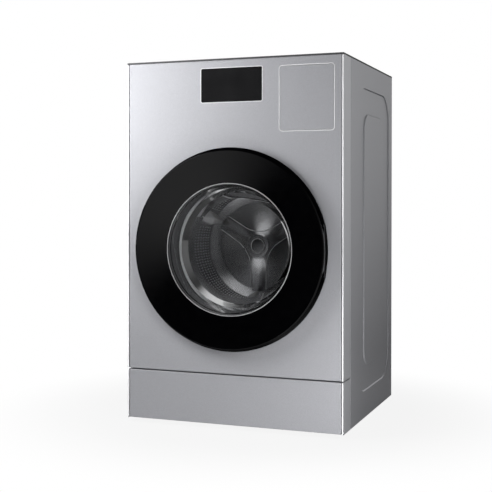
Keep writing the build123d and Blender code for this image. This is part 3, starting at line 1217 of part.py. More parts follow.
def drum_lifters():
    """Three hollow paddles, one at the end of each arm of the back."""
    wall = 2 * LIFTER_WALL
    paddle = lifter(LIFTER_BASE, LIFTER_TOP, LIFTER_HEIGHT, LIFTER_LENGTH, LIFTER_EDGE)
    inner_top = LIFTER_TOP - LIFTER_EDGE
    paddle -= lifter(LIFTER_BASE - wall, inner_top, LIFTER_HEIGHT - LIFTER_WALL, LIFTER_LENGTH - wall, 0)
    return Compound([about_drum(paddle, angle).solid() for angle in ARM_ANGLES])


def drum_hub_cap():
    """Turned cap on the drum's hub."""
    far = HUB_FACE_DEPTH
    near = far - HUB_CAP_HEIGHT
    step = HUB_CAP_STEP
    return turned([(0, near + step / 2), (HUB_CAP_RADIUS - 2 * step, near + step / 2),
                   (HUB_CAP_RADIUS - 2 * step, near),
                   (HUB_CAP_RADIUS - step, near), (HUB_CAP_RADIUS, far), (0, far)])


def drum_spider():
    """Cast spider: a hub on the shaft and three tapering arms to the drum's rear flange."""
    near, far = SPIDER_FRONT, SPIDER_REAR
    spider = ring(SHAFT_FRONT_RADIUS, SPIDER_HUB_RADIUS, near, far)
    pad = DRUM_BORE
    root = SPIDER_ARM_ROOT / 2
    foot_radius = pad - SPIDER_PAD
    arm = Polyline((SHAFT_FRONT_RADIUS + SPIDER_TIP, near), (foot_radius, near),
                   (foot_radius, DRUM_REAR_DEPTH),
                   (pad, DRUM_REAR_DEPTH), (pad, near + SPIDER_TIP),
                   (SHAFT_FRONT_RADIUS + SPIDER_TIP, far), close=True)
    arm = extrude(make_face(arm), root, both=True)
    taper = make_face(Polyline((0, -root), (pad + SPIDER_ARM, -SPIDER_ARM / 2),
                               (pad + SPIDER_ARM, SPIDER_ARM / 2), (0, root), close=True))
    arm = arm & plate(taper, 0, far)
    arm = arm & rod(0, 0, pad, 0, far)
    for angle in ARM_ANGLES:
        spider += about_drum(arm, angle)
    return spider - about_drum(rod(0, 0, SHAFT_FRONT_RADIUS, near, far))


def drum_shaft():
    """Stepped drum shaft with the rotor's seat and a threaded end."""
    near = SPIDER_FRONT
    spline = HUB_REAR_DEPTH + FIT
    end = SHAFT_THREAD_RADIUS
    tip = ROTOR_REAR_DEPTH + SHAFT_THREAD
    return turned([(0, near), (SHAFT_FRONT_RADIUS, near), (SHAFT_FRONT_RADIUS, SHAFT_STEP_DEPTH),
                   (SHAFT_REAR_RADIUS, SHAFT_STEP_DEPTH), (SHAFT_REAR_RADIUS, spline),
                   (SHAFT_SPLINE_RADIUS, spline),
                   (SHAFT_SPLINE_RADIUS, ROTOR_REAR_DEPTH), (end, ROTOR_REAR_DEPTH),
                   (end, tip), (0, tip)])


def drum_bearings():
    """Front and rear bearings in the tub's hub."""
    front = ring(SHAFT_FRONT_RADIUS + RUNNING, FRONT_BEARING_RADIUS, SEAL_REAR,
                 FRONT_BEARING_REAR)
    rear = ring(SHAFT_REAR_RADIUS + RUNNING, REAR_BEARING_RADIUS, REAR_BEARING_FRONT, HUB_REAR_DEPTH)
    return Compound([front.solid(), rear.solid()])


def shaft_seal():
    """Lip seal in front of the front bearing."""
    near, far = SEAL_FRONT, SEAL_REAR
    lip = SHAFT_FRONT_RADIUS + RUNNING
    return turned([(lip, near), (SEAL_RADIUS, near), (SEAL_RADIUS, far), (SEAL_RADIUS - SEAL_WIDTH, far),
                   (SEAL_RADIUS - SEAL_WIDTH, near + SEAL_LIP), (lip, near + SEAL_LIP)])


def motor_stator():
    """Wound stator: a yoke on the tub's posts with a tooth at every pole."""
    bore, yoke, tip = STATOR_BORE, STATOR_YOKE_RADIUS, STATOR_TIP_RADIUS
    near = STATOR_DEPTH
    far = near + STATOR_STACK
    stator = Circle(yoke) - Circle(bore)
    for n in range(STATOR_TEETH):
        reach = tip - yoke + STATOR_YOKE / 2
        tooth = Pos(tip - reach / 2, 0) * Rectangle(reach, STATOR_TOOTH)
        stator += Rot(0, 0, 360.0 / STATOR_TEETH * n) * tooth
    return about_drum(plate(stator, near, far))


def motor_rotor():
    """Rotor cup with a magnet ring inside its wall and windows in its back."""
    near = STATOR_DEPTH + FIT
    far = ROTOR_REAR_DEPTH
    hub_near = HUB_REAR_DEPTH + 2 * FIT
    rotor = turned([(MAGNET_RADIUS, near), (ROTOR_RADIUS, near), (ROTOR_RADIUS, far),
                    (SHAFT_SPLINE_RADIUS, far),
                    (SHAFT_SPLINE_RADIUS, hub_near), (ROTOR_HUB_RADIUS, hub_near),
                    (ROTOR_HUB_RADIUS, far - ROTOR_WALL),
                    (MAGNET_RADIUS, far - ROTOR_WALL)])
    for n in range(ROTOR_WINDOWS):
        window = Pos((ROTOR_HUB_RADIUS + MAGNET_RADIUS) / 2, 0, 0) * rod(0, 0, ROTOR_WINDOW_RADIUS,
                                                                         far - ROTOR_WALL, far)
        rotor -= about_drum(window, 360.0 / ROTOR_WINDOWS * n)
    return rotor


# Suspension

def spring_beam():
    """Channel across the cabinet that the tub's springs hang from."""
    x, y = SPRING_X, SPRING_DEPTH
    half = HALF - BEAD_STEP - SHEET
    top = BEAM_BOTTOM + BEAM_HEIGHT
    beam = block((-half, half), (y - BEAM_WIDTH / 2, y + BEAM_WIDTH / 2), (BEAM_BOTTOM, top))
    inner = BEAM_WIDTH / 2 - BEAM_WALL
    beam -= block((-half + BEAM_WALL, half - BEAM_WALL), (y - inner, y + inner),
                  (BEAM_BOTTOM + BEAM_WALL, top))
    hole = post(x, y, SPRING_STEM_RADIUS + FIT, BEAM_BOTTOM, BEAM_BOTTOM + BEAM_WALL)
    return beam - both_sides(hole)


def suspension_springs():
    """Close-wound springs between the beam and the tub's lugs, with a stem and a button at each end."""
    x, y, seat = SPRING_X, SPRING_DEPTH, SPRING_Z
    stem = SPRING_STEM_RADIUS
    under = seat - TUB_FLANGE - FIT
    over = BEAM_BOTTOM + BEAM_WALL + FIT
    high = BEAM_BOTTOM - SPRING_END
    low = seat + SPRING_STEM_SHARE * (BEAM_BOTTOM - seat)
    pitch = (high - low) / SPRING_TURNS
    groove = SPRING_RADIUS - SPRING_WIRE / 2
    outline = [(0, under - SPRING_WIRE), (2 * stem, under - SPRING_WIRE), (2 * stem, under),
               (stem, under), (stem, low)]
    for n in range(SPRING_TURNS):
        outline += [(groove, low + n * pitch), (SPRING_RADIUS, low + (n + 0.5) * pitch)]
    outline += [(groove, high), (stem, high), (stem, over), (2 * stem, over),
                (2 * stem, over + SPRING_WIRE),
                (0, over + SPRING_WIRE)]
    spring = revolve(Plane.XZ * make_face(Polyline(*outline, close=True)), Axis.Z)
    return Compound(both_sides(Pos(x, y, 0) * spring).solids())


def damper_cylinders():
    """Damper tubes that stand on the base pan."""
    low = DAMPER_SEAT
    outer = DAMPER_ROD_RADIUS + RUNNING + DAMPER_TUBE_WALL
    tube = post(DAMPER_X, DAMPER_DEPTH, outer, low, DAMPER_TUBE_TOP)
    tube += post(DAMPER_X, DAMPER_DEPTH, DAMPER_EYE_RADIUS, low, low + DAMPER_EYE_HEIGHT)
    tube -= post(DAMPER_X, DAMPER_DEPTH, DAMPER_ROD_RADIUS + RUNNING, low + DAMPER_EYE_HEIGHT,
                 DAMPER_TUBE_TOP)
    return Compound(both_sides(tube).solids())


def damper_rods():
    """Damper rods under the tub, with a head shaped to its wall."""
    high = AXIS_Z - math.sqrt(TUB_RADIUS ** 2 - (DAMPER_X + DAMPER_EYE_RADIUS) ** 2)
    low = DAMPER_TUBE_TOP + DAMPER_FREE
    head = post(DAMPER_X, DAMPER_DEPTH, DAMPER_EYE_RADIUS, low, high)
    bar = post(DAMPER_X, DAMPER_DEPTH, DAMPER_ROD_RADIUS, DAMPER_TUBE_TOP - DAMPER_OVERLAP,
               low)
    bar += head - about_drum(rod(0, 0, TUB_RADIUS, 0, TUB_JOINT_DEPTH))
    return Compound(both_sides(bar).solids())


# Drain and water fittings

def drain_pump():
    """Pump: filter housing open to the front, volute, motor, inlet and outlet spigots."""
    near, far = FILTER_FRONT, FILTER_REAR
    pump = rod(PUMP_X, PUMP_Z, FILTER_RADIUS, near, far)
    pump += rod(PUMP_X, PUMP_Z, VOLUTE_RADIUS, far, VOLUTE_REAR)
    pump += rod(PUMP_X, PUMP_Z, PUMP_MOTOR_RADIUS, VOLUTE_REAR, VOLUTE_REAR + PUMP_MOTOR_LENGTH)
    pump += post(PUMP_X, PUMP_INLET_DEPTH, SUMP_RADIUS, PUMP_Z, PUMP_INLET_TOP)
    pump += post(PUMP_OUTLET_X, PUMP_OUTLET_DEPTH, DRAIN_RADIUS, PUMP_Z, PUMP_OUTLET_TOP)
    foot_low = BASE_BOTTOM + BASE_WALL
    pump += block((PUMP_X - VOLUTE_RADIUS, PUMP_X + VOLUTE_RADIUS),
                  (BASE_FRONT + PUMP_FOOT_ROOM, VOLUTE_REAR),
                  (foot_low, PUMP_Z - PUMP_FOOT_DROP))
    pump -= rod(PUMP_X, PUMP_Z, FILTER_RADIUS - HOSE_WALL, near, far - HOSE_WALL)
    pump -= post(PUMP_X, PUMP_INLET_DEPTH, SUMP_RADIUS - SUMP_WALL, PUMP_Z, PUMP_INLET_TOP)
    return pump - post(PUMP_OUTLET_X, PUMP_OUTLET_DEPTH, DRAIN_RADIUS - DRAIN_WALL, PUMP_Z,
                       PUMP_OUTLET_TOP)


def filter_cap():
    """Screw cap of the drain filter with a grip bar and a plug that enters the housing."""
    near = FILTER_FRONT
    wide, thick, tall = CAP_GRIP
    cap = rod(PUMP_X, PUMP_Z, CAP_RADIUS, near - FIT - CAP_THICKNESS, near - FIT)
    cap += rod(PUMP_X, PUMP_Z, FILTER_RADIUS - HOSE_WALL - RUNNING, near - FIT, near + CAP_PLUG)
    grip = Pos(PUMP_X, PUMP_Z) * SlotOverall(wide, thick)
    return cap + plate(grip, near - FIT - CAP_THICKNESS - tall, near - FIT - CAP_THICKNESS)


def sump_hose():
    """Hose from the tub's sump straight down to the pump's inlet."""
    return upright_hose(PUMP_X, PUMP_INLET_DEPTH, SUMP_RADIUS + FIT, PUMP_INLET_TOP - HOSE_LAP,
                        SUMP_BOTTOM + HOSE_LAP)


def drain_hose():
    """Hose from the pump's outlet back to the drain fitting."""
    points = [(PUMP_OUTLET_X, PUMP_OUTLET_DEPTH, PUMP_OUTLET_TOP - HOSE_LAP),
              (PUMP_OUTLET_X, PUMP_OUTLET_DEPTH, DRAIN_Z),
              (PUMP_OUTLET_X, REAR_INNER - 2 * HOSE_LAP, DRAIN_Z)]
    return hose(points, DRAIN_BEND, DRAIN_RADIUS + FIT + HOSE_WALL, HOSE_WALL)


def drain_outlet():
    """Drain fitting through the rear panel."""
    near = REAR_INNER - 3 * HOSE_LAP
    far = BODY_DEPTH + INLET_PROUD
    fitting = rod(PUMP_OUTLET_X, DRAIN_Z, DRAIN_RADIUS, near, REAR_INNER)
    fitting += rod(PUMP_OUTLET_X, DRAIN_Z, DRAIN_COLLAR, REAR_INNER - HOSE_WALL, REAR_INNER)
    fitting += rod(PUMP_OUTLET_X, DRAIN_Z, DRAIN_RADIUS - SHEET, REAR_INNER, BODY_DEPTH + FIT)
    fitting += rod(PUMP_OUTLET_X, DRAIN_Z, DRAIN_RADIUS, BODY_DEPTH + FIT, far)
    return fitting - rod(PUMP_OUTLET_X, DRAIN_Z, DRAIN_RADIUS - DRAIN_WALL, near, far)


def inlet_valve():
    """Twin water valve: two threaded inlets through the rear panel, a body, two coils and one outlet."""
    wide, deep, tall = VALVE_BODY
    near = REAR_INNER - deep
    outline = Pos(HOSE_X, INLET_Z) * RectangleRounded(wide, tall, VALVE_EDGE_RADIUS)
    valve = plate(outline, near, REAR_INNER)
    for x in INLET_X:
        valve += rod(x, INLET_Z, INLET_RADIUS - SHEET, REAR_INNER, BODY_DEPTH + FIT)
        valve += rod(x, INLET_Z, INLET_RADIUS, BODY_DEPTH + FIT, BODY_DEPTH + INLET_PROUD)
        valve -= rod(x, INLET_Z, INLET_BORE, REAR_INNER - deep / 2, BODY_DEPTH + INLET_PROUD)
        top = INLET_Z + tall / 2
        valve += post(x, REAR_INNER - deep / 2, VALVE_COIL_RADIUS, top, top + VALVE_COIL_HEIGHT)
    return valve + rod(HOSE_X, INLET_Z, INLET_HOSE_RADIUS - HOSE_WALL - FIT,
                       near - HOSE_LAP, near)


def inlet_hose():
    """Hose from the valve to the dispenser housing."""
    near = HOUSING_REAR + FIT
    far = REAR_INNER - VALVE_BODY[1] - FIT
    hose_body = rod(HOSE_X, INLET_Z, INLET_HOSE_RADIUS, near, far)
    return hose_body - rod(HOSE_X, INLET_Z, INLET_HOSE_RADIUS - HOSE_WALL, near, far)


def mains_gland():
    """Cable gland in the rear panel, without its cable."""
    far = BODY_DEPTH + GLAND_PROUD
    gland = plate(Pos(GLAND_X, GLAND_Z) * RectangleRounded(*GLAND_PLATE, GLAND_PLATE_RADIUS),
                  BODY_DEPTH, BODY_DEPTH + GLAND_PLATE_THICKNESS)
    gland += rod(GLAND_X, GLAND_Z, GLAND_RADIUS, REAR_INNER - GLAND_PLATE_THICKNESS, far)
    return gland - rod(GLAND_X, GLAND_Z, GLAND_BORE, REAR_INNER - GLAND_PLATE_THICKNESS, far)


def all_parts():
    """Every piece of the machine by its name."""
    right = side_panel()
    parts = {
        "right_side_panel": right,
        "left_side_panel": mirror(right, about=Plane.YZ),
        "top_cover": top_cover(),
        "rear_panel": rear_panel(),
        "rear_access_cover": rear_access_cover(),
        "base_pan": base_pan(),
        "foot_lock_nuts": foot_lock_nuts(),
        "cross_rails": cross_rails(),
        "front_panel": front_panel(),
        "corner_trims": corner_trims(),
        "lower_front_panel": lower_front_panel(),
        "display_glass": display_glass(),
        "display_housing": display_housing(),
        "drawer_front": drawer_front(),
        "drawer_tray": drawer_tray(),
        "dispenser_housing": dispenser_housing(),
        "dispenser_hose": dispenser_hose(),
        "door_rim": door_rim(),
        "door_face_ring": door_face_ring(),
        "door_bowl": door_bowl(),
        "door_inner_frame": door_inner_frame(),
        "door_hinge_pin": door_hinge_pin(),
        "door_latch_hook": door_latch_hook(),
        "hinge_bracket": hinge_bracket(),
        "door_lock": door_lock(),
        "door_gasket": door_gasket(),
        "gasket_front_clamp": gasket_front_clamp(),
        "gasket_rear_clamp": gasket_rear_clamp(),
        "tub_front": tub_front(),
        "tub_rear": tub_rear(),
        "counterweights": counterweights(),
        "heater": heater(),
        "drum_shell": drum_shell(),
        "drum_front": drum_front(),
        "drum_back": drum_back(),
        "drum_lifters": drum_lifters(),
        "drum_hub_cap": drum_hub_cap(),
        "drum_spider": drum_spider(),
        "drum_shaft": drum_shaft(),
        "drum_bearings": drum_bearings(),
        "shaft_seal": shaft_seal(),
        "motor_stator": motor_stator(),
        "motor_rotor": motor_rotor(),
        "spring_beam": spring_beam(),
        "suspension_springs": suspension_springs(),
        "damper_cylinders": damper_cylinders(),
        "damper_rods": damper_rods(),
        "drain_pump": drain_pump(),
        "filter_cap": filter_cap(),
        "sump_hose": sump_hose(),
        "drain_hose": drain_hose(),
        "drain_outlet": drain_outlet(),
        "inlet_valve": inlet_valve(),
        "inlet_hose": inlet_hose(),
        "mains_gland": mains_gland(),
    }
    for name, x, depth in foot_places():
        parts[f"foot_{name}"] = foot(x, depth)
    return parts


os.makedirs("parts", exist_ok=True)
for node, shape in all_parts().items():
    export_step(Pos(0, Y_FRONT, 0) * shape, f"parts/{node}.step")
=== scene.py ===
"""Front load washing machine: finishes, drum skin, gasket, springs, hoses and fittings round the frame."""

import json
import logging
import math
from dataclasses import dataclass
from enum import Enum

import bmesh
import bpy
from bmesh.types import BMEdge, BMesh, BMFace, BMVert
from bpy.types import Material, Node, NodeTree, Object
from bpy.types import NodeSocket as Socket
from mathutils import Matrix, Vector

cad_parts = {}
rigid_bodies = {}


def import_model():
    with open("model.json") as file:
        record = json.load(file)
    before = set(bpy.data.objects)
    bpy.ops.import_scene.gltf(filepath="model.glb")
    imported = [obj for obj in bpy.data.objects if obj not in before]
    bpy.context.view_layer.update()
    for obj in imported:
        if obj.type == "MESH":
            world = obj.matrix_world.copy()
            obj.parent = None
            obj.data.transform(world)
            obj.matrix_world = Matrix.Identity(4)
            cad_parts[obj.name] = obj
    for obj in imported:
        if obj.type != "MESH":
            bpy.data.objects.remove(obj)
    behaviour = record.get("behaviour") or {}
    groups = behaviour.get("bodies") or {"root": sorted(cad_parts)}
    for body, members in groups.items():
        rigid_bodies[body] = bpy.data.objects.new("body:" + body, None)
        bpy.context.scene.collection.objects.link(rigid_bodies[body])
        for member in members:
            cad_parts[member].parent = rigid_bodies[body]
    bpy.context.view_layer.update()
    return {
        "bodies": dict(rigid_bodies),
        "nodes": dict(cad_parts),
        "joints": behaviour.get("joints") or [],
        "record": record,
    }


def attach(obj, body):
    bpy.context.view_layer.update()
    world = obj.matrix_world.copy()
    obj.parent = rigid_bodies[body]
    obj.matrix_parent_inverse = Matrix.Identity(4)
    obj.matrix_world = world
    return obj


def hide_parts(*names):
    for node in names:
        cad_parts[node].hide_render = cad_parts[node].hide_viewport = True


LOG = logging.getLogger("washing_machine")

Pair = tuple[float, float]
Triple = tuple[float, float, float]
Colour = Triple
Geometry = list[BMVert | BMEdge | BMFace]

MM = 0.001
FRONT = -317.0 * MM
AXIS_HEIGHT = 540.0 * MM
FULL_TURN = 2.0 * math.pi
MERGE_GAP = 0.01 * MM
LOOP_GAP = 0.05 * MM
LEVEL_GAP = 0.1 * MM

EVEN: Triple = (1.0, 1.0, 1.0)
BRUSH_STRETCH: Triple = (1.0, 1.0, 40.0)
WHITE = (1.0, 1.0, 1.0, 1.0)
TONE_BAND: Pair = (0.3, 0.7)
ROUGH_BAND: Pair = (0.25, 0.75)
PLAIN_DETAIL = 3.0
CAST_DETAIL = 6.0
TURNING_MARKS = {"Distortion": 1.2, "Detail": 2.0, "Detail Scale": 1.5}

DRUM_CENTRE = Vector((0.0, FRONT, AXIS_HEIGHT))
REARWARD = Vector((0.0, 1.0, 0.0))
RIGHT = Vector((1.0, 0.0, 0.0))
UP = Vector((0.0, 0.0, 1.0))


class Pattern(Enum):
    """How a finish's tone and relief are spread over the surface."""

    MOTTLE = "mottle"
    FLAKE = "flake"
    BRUSHED = "brushed"
    TURNED = "turned"
    SPANGLE = "spangle"
    CAST = "cast"


class NodeSheet:
    """Adds and joins the nodes of one node tree."""

    def __init__(self, tree: NodeTree) -> None:
        """Takes the tree to write in."""
        self.nodes = tree.nodes
        self.links = tree.links

    def fill(self, node: Node, inputs: dict[str | int, object]) -> None:
        """Fills inputs of a node.

        Args:
            node: the node.
            inputs: a plain value, or a socket to link, for each input by name or number.
        """
        for key, value in inputs.items():
            if isinstance(value, Socket):
                self.links.new(value, node.inputs[key])
            else:
                node.inputs[key].default_value = value

    def add(self, kind: str, inputs: dict[str | int, object], **settings: object) -> Node:
        """Adds a node.

        Args:
            kind: Blender's name of the node type.
            inputs: plain values or sockets for its inputs.
            settings: values for its own properties.

        Returns:
            The new node.
        """
        node = self.nodes.new(kind)
        for key, value in settings.items():
            setattr(node, key, value)
        self.fill(node, inputs)
        return node

    def calculate(self, operation: str, *terms: Socket | float) -> Socket:
        """Works out one value from sockets and plain numbers."""
        node = self.add("ShaderNodeMath", dict(enumerate(terms)), operation=operation)
        return node.outputs["Value"]

    def remap(self, value: Socket, band: Pair, limits: Pair, kind: str = "SMOOTHSTEP") -> Socket:
        """Turns a band of values into the range between two limits."""
        inputs = dict(enumerate((value, *band, *limits)))
        return self.add("ShaderNodeMapRange", inputs, interpolation_type=kind).outputs["Result"]

    def mix(self, share: Socket, first: Socket, second: Socket) -> Socket:
        """Mixes two shaders by the share of the second one."""
        return self.add("ShaderNodeMixShader", {0: share, 1: first, 2: second}).outputs["Shader"]


class Graph(NodeSheet):
    """Writes the node tree of one material."""

    def __init__(self, name: str) -> None:
        """Starts a material with its shader and its output.

        Args:
            name: name of the material.
        """
        self.material = bpy.data.materials.new(name)
        self.material.use_nodes = True
        super().__init__(self.material.node_tree)
        self.shader = self.nodes["Principled BSDF"]
        self.output = self.nodes["Material Output"]

    def place(self, stretch: Triple = EVEN, centre: Triple = (0.0, 0.0, 0.0)) -> Socket:
        """Gives the object's own coordinates, moved and stretched.

        Args:
            stretch: scale along each axis.
            centre: the point that becomes the origin.

        Returns:
            The vector socket.
        """
        source = self.add("ShaderNodeTexCoord", {}).outputs["Object"]
        offset = [-c * s for c, s in zip(centre, stretch)]
        inputs = {"Vector": source, "Scale": stretch, "Location": offset}
        return self.add("ShaderNodeMapping", inputs).outputs["Vector"]

    def noise(self, scale: float, detail: float, stretch: Triple = EVEN) -> Socket:
        """Gives a noise between 0 and 1, of so many cells per metre and octaves."""
        inputs = {"Vector": self.place(stretch), "Scale": scale, "Detail": detail}
        return self.add("ShaderNodeTexNoise", inputs).outputs["Fac"]

    def cells(self, scale: float, distance: str, channel: str) -> Socket:
        """Gives one chance value for each cell of the surface.

        Args:
            scale: cells per metre.
            distance: Blender's name of the measure that shapes the cells.
            channel: the channel of the cell's chance colour.

        Returns:
            The value's socket.
        """
        inputs = {"Vector": self.place(), "Scale": scale}
        colour = self.add("ShaderNodeTexVoronoi", inputs, distance=distance).outputs["Color"]
        return self.add("ShaderNodeSeparateColor", {"Color": colour}).outputs[channel]

    def tint(self, factor: Socket, dark: Colour, light: Colour) -> Socket:
        """Spreads a colour between two tones.

        Args:
            factor: value that chooses the tone.
            dark: tone at the low end of the tone band.
            light: tone at its high end.

        Returns:
            The colour's socket.
        """
        ramp = self.add("ShaderNodeValToRGB", {"Fac": factor})
        for element, tone, place in zip(ramp.color_ramp.elements, (dark, light), TONE_BAND):
            element.position = place
            element.color = (*tone, 1.0)
        return ramp.outputs["Color"]

    def relief(self, height: Socket, strength: float, distance: float) -> Socket:
        """Gives the normal of a fine relief, whose distance is its height in metres."""
        inputs = {"Height": height, "Strength": strength, "Distance": distance}
        return self.add("ShaderNodeBump", inputs).outputs["Normal"]

    def glow(self, level: float) -> Socket:
        """Gives a plain white light of a level."""
        return self.add("ShaderNodeEmission", {"Color": WHITE, "Strength": level}).outputs["Emission"]


@dataclass(frozen=True)
class Finish:
    """A finish with two near tones, a range of roughness and a fine relief."""

    name: str
    dark: Colour
    light: Colour
    rough: Pair
    pattern: Pattern = Pattern.MOTTLE
    metallic: float = 0.0
    scale: float = 300.0
    strength: float = 0.1
    height: float = 0.2 * MM

    def field(self, graph: Graph) -> Socket:
        """Gives the value that spreads this finish over the surface.

        Args:
            graph: the material being written.

        Returns:
            A value socket between 0 and 1.
        """
        if self.pattern is Pattern.FLAKE:
            return graph.cells(self.scale, "EUCLIDEAN", "Red")
        if self.pattern is Pattern.SPANGLE:
            return graph.cells(self.scale, "MANHATTAN", "Green")
        if self.pattern is Pattern.TURNED:
            place = graph.place(centre=(0.0, 0.0, AXIS_HEIGHT))
            rings = graph.add("ShaderNodeTexWave", {"Vector": place, "Scale": self.scale, **TURNING_MARKS},
                              wave_type="RINGS", rings_direction="Y")
            return rings.outputs["Fac"]
        stretch = BRUSH_STRETCH if self.pattern is Pattern.BRUSHED else EVEN
        detail = CAST_DETAIL if self.pattern is Pattern.CAST else PLAIN_DETAIL
        return graph.noise(self.scale, detail, stretch)

    def build(self) -> Material:
        """Writes the finish as a material.

        Returns:
            The material.
        """
        graph = Graph(self.name)
        field = self.field(graph)
        graph.fill(graph.shader, {
            "Base Color": graph.tint(field, self.dark, self.light),
            "Metallic": self.metallic,
            "Roughness": graph.remap(field, ROUGH_BAND, self.rough, "LINEAR"),
            "Normal": graph.relief(field, self.strength, self.height),
        })
        return graph.material


@dataclass(frozen=True)
class WindowGlass:
    """Clear thick glass that lets light through to the drum."""

    name: str
    tone: Colour = (0.93, 0.94, 0.95)
    ior: float = 1.46
    haze: Pair = (0.0, 0.02)
    haze_scale: float = 9.0
    haze_detail: float = 2.0

    def build(self) -> Material:
        """Writes the glass as a material.

        Returns:
            The material.
        """
        graph = Graph(self.name)
        haze = graph.noise(self.haze_scale, self.haze_detail)
        graph.fill(graph.shader, {
            "Base Color": (*self.tone, 1.0),
            "Transmission Weight": 1.0,
            "IOR": self.ior,
            "Roughness": graph.remap(haze, TONE_BAND, self.haze, "LINEAR"),
        })
        shadow = graph.add("ShaderNodeLightPath", {}).outputs["Is Shadow Ray"]
        clear = graph.add("ShaderNodeBsdfTransparent", {}).outputs["BSDF"]
        surface = graph.mix(shadow, graph.shader.outputs["BSDF"], clear)
        graph.fill(graph.output, {"Surface": surface})
        return graph.material


FINISHES: tuple[Finish | WindowGlass, ...] = (
    Finish("body_paint", (0.455, 0.459, 0.486), (0.535, 0.539, 0.571), (0.34, 0.44),
           Pattern.FLAKE, metallic=0.5, scale=1400.0, strength=0.06),
    # Dark grey top cover, darker than the body: its front edge paints the shaded line along the machine's
    # top edge.
    Finish("top_dark", (0.045, 0.045, 0.048), (0.06, 0.06, 0.063), (0.5, 0.62), scale=700.0),
    Finish("galvanised", (0.5, 0.51, 0.52), (0.56, 0.57, 0.58), (0.4, 0.46),
           Pattern.SPANGLE, metallic=0.8, scale=130.0, strength=0.02),
    Finish("base_plastic", (0.018, 0.018, 0.019), (0.028, 0.028, 0.03), (0.45, 0.6), scale=900.0),
    Finish("display_black", (0.0085, 0.0085, 0.009), (0.011, 0.011, 0.0115), (0.04, 0.08),
           scale=30.0, strength=0.02),
    Finish("white_plastic", (0.68, 0.68, 0.67), (0.74, 0.74, 0.73), (0.38, 0.5), scale=600.0),
    Finish("door_black", (0.0004, 0.0004, 0.0006), (0.0008, 0.0008, 0.001), (0.06, 0.1),
           scale=40.0, strength=0.02),
    WindowGlass("window_glass"),
    Finish("steel", (0.42, 0.42, 0.43), (0.58, 0.58, 0.59), (0.24, 0.36),
           Pattern.BRUSHED, metallic=1.0, scale=60.0, strength=0.05),
    Finish("rubber", (0.05, 0.05, 0.052), (0.075, 0.075, 0.078), (0.36, 0.55), scale=500.0),
    Finish("gasket_rubber", (0.055, 0.055, 0.057), (0.085, 0.085, 0.088), (0.18, 0.28), scale=500.0),
    Finish("tub_plastic", (0.52, 0.53, 0.54), (0.58, 0.59, 0.6), (0.5, 0.65), scale=500.0),
    Finish("cast_iron", (0.03, 0.03, 0.03), (0.07, 0.07, 0.07), (0.6, 0.85),
           Pattern.CAST, scale=220.0, strength=0.5, height=0.6 * MM),
    Finish("drum_steel", (0.52, 0.52, 0.53), (0.6, 0.6, 0.61), (0.18, 0.26),
           Pattern.TURNED, metallic=0.95, scale=160.0, strength=0.02),
    Finish("drum_satin", (0.42, 0.42, 0.43), (0.5, 0.5, 0.51), (0.3, 0.42),
           Pattern.BRUSHED, metallic=0.45, scale=80.0, strength=0.03),
    # Pale, mostly diffuse finish for the star's rolled edges and the hub's ring: paints bright highlight
    # lines on the dark drum steel.
    Finish("painted_highlight_satin", (0.7, 0.7, 0.71), (0.78, 0.78, 0.79), (0.32, 0.42),
           Pattern.BRUSHED, metallic=0.2, scale=80.0, strength=0.03),
    # Near-white bead finish, well above the body paint's tone: paints the bright highlight lines along the
    # face's edges.
    Finish("painted_highlight_white", (0.86, 0.862, 0.875), (0.92, 0.922, 0.935), (0.28, 0.36), scale=600.0),
    # Lighter copy of the body paint for the corner trims: paints the lit strip along the trims' sides.
    Finish("painted_highlight_trim", (0.56, 0.564, 0.592), (0.63, 0.634, 0.665), (0.3, 0.4),
           Pattern.FLAKE, metallic=0.35, scale=1400.0, strength=0.06),
    Finish("hub_chrome", (0.15, 0.15, 0.155), (0.19, 0.19, 0.195), (0.1, 0.16),
           Pattern.TURNED, metallic=1.0, scale=220.0, strength=0.01),
    Finish("spider_alloy", (0.46, 0.46, 0.46), (0.58, 0.58, 0.58), (0.4, 0.6),
           Pattern.CAST, metallic=0.9, scale=260.0, strength=0.3),
    Finish("motor_steel", (0.1, 0.085, 0.07), (0.17, 0.15, 0.12), (0.4, 0.6),
           Pattern.BRUSHED, metallic=0.6, scale=120.0),
    Finish("foot_plastic", (0.012, 0.012, 0.012), (0.02, 0.02, 0.02), (0.5, 0.65), scale=800.0),
)

# The corner trims wear the lighter painted-highlight copy of the body paint; the lifters wear satin steel.
NODE_FINISHES: dict[str, str] = {"drum_lifters": "drum_satin", "corner_trims": "painted_highlight_trim"}


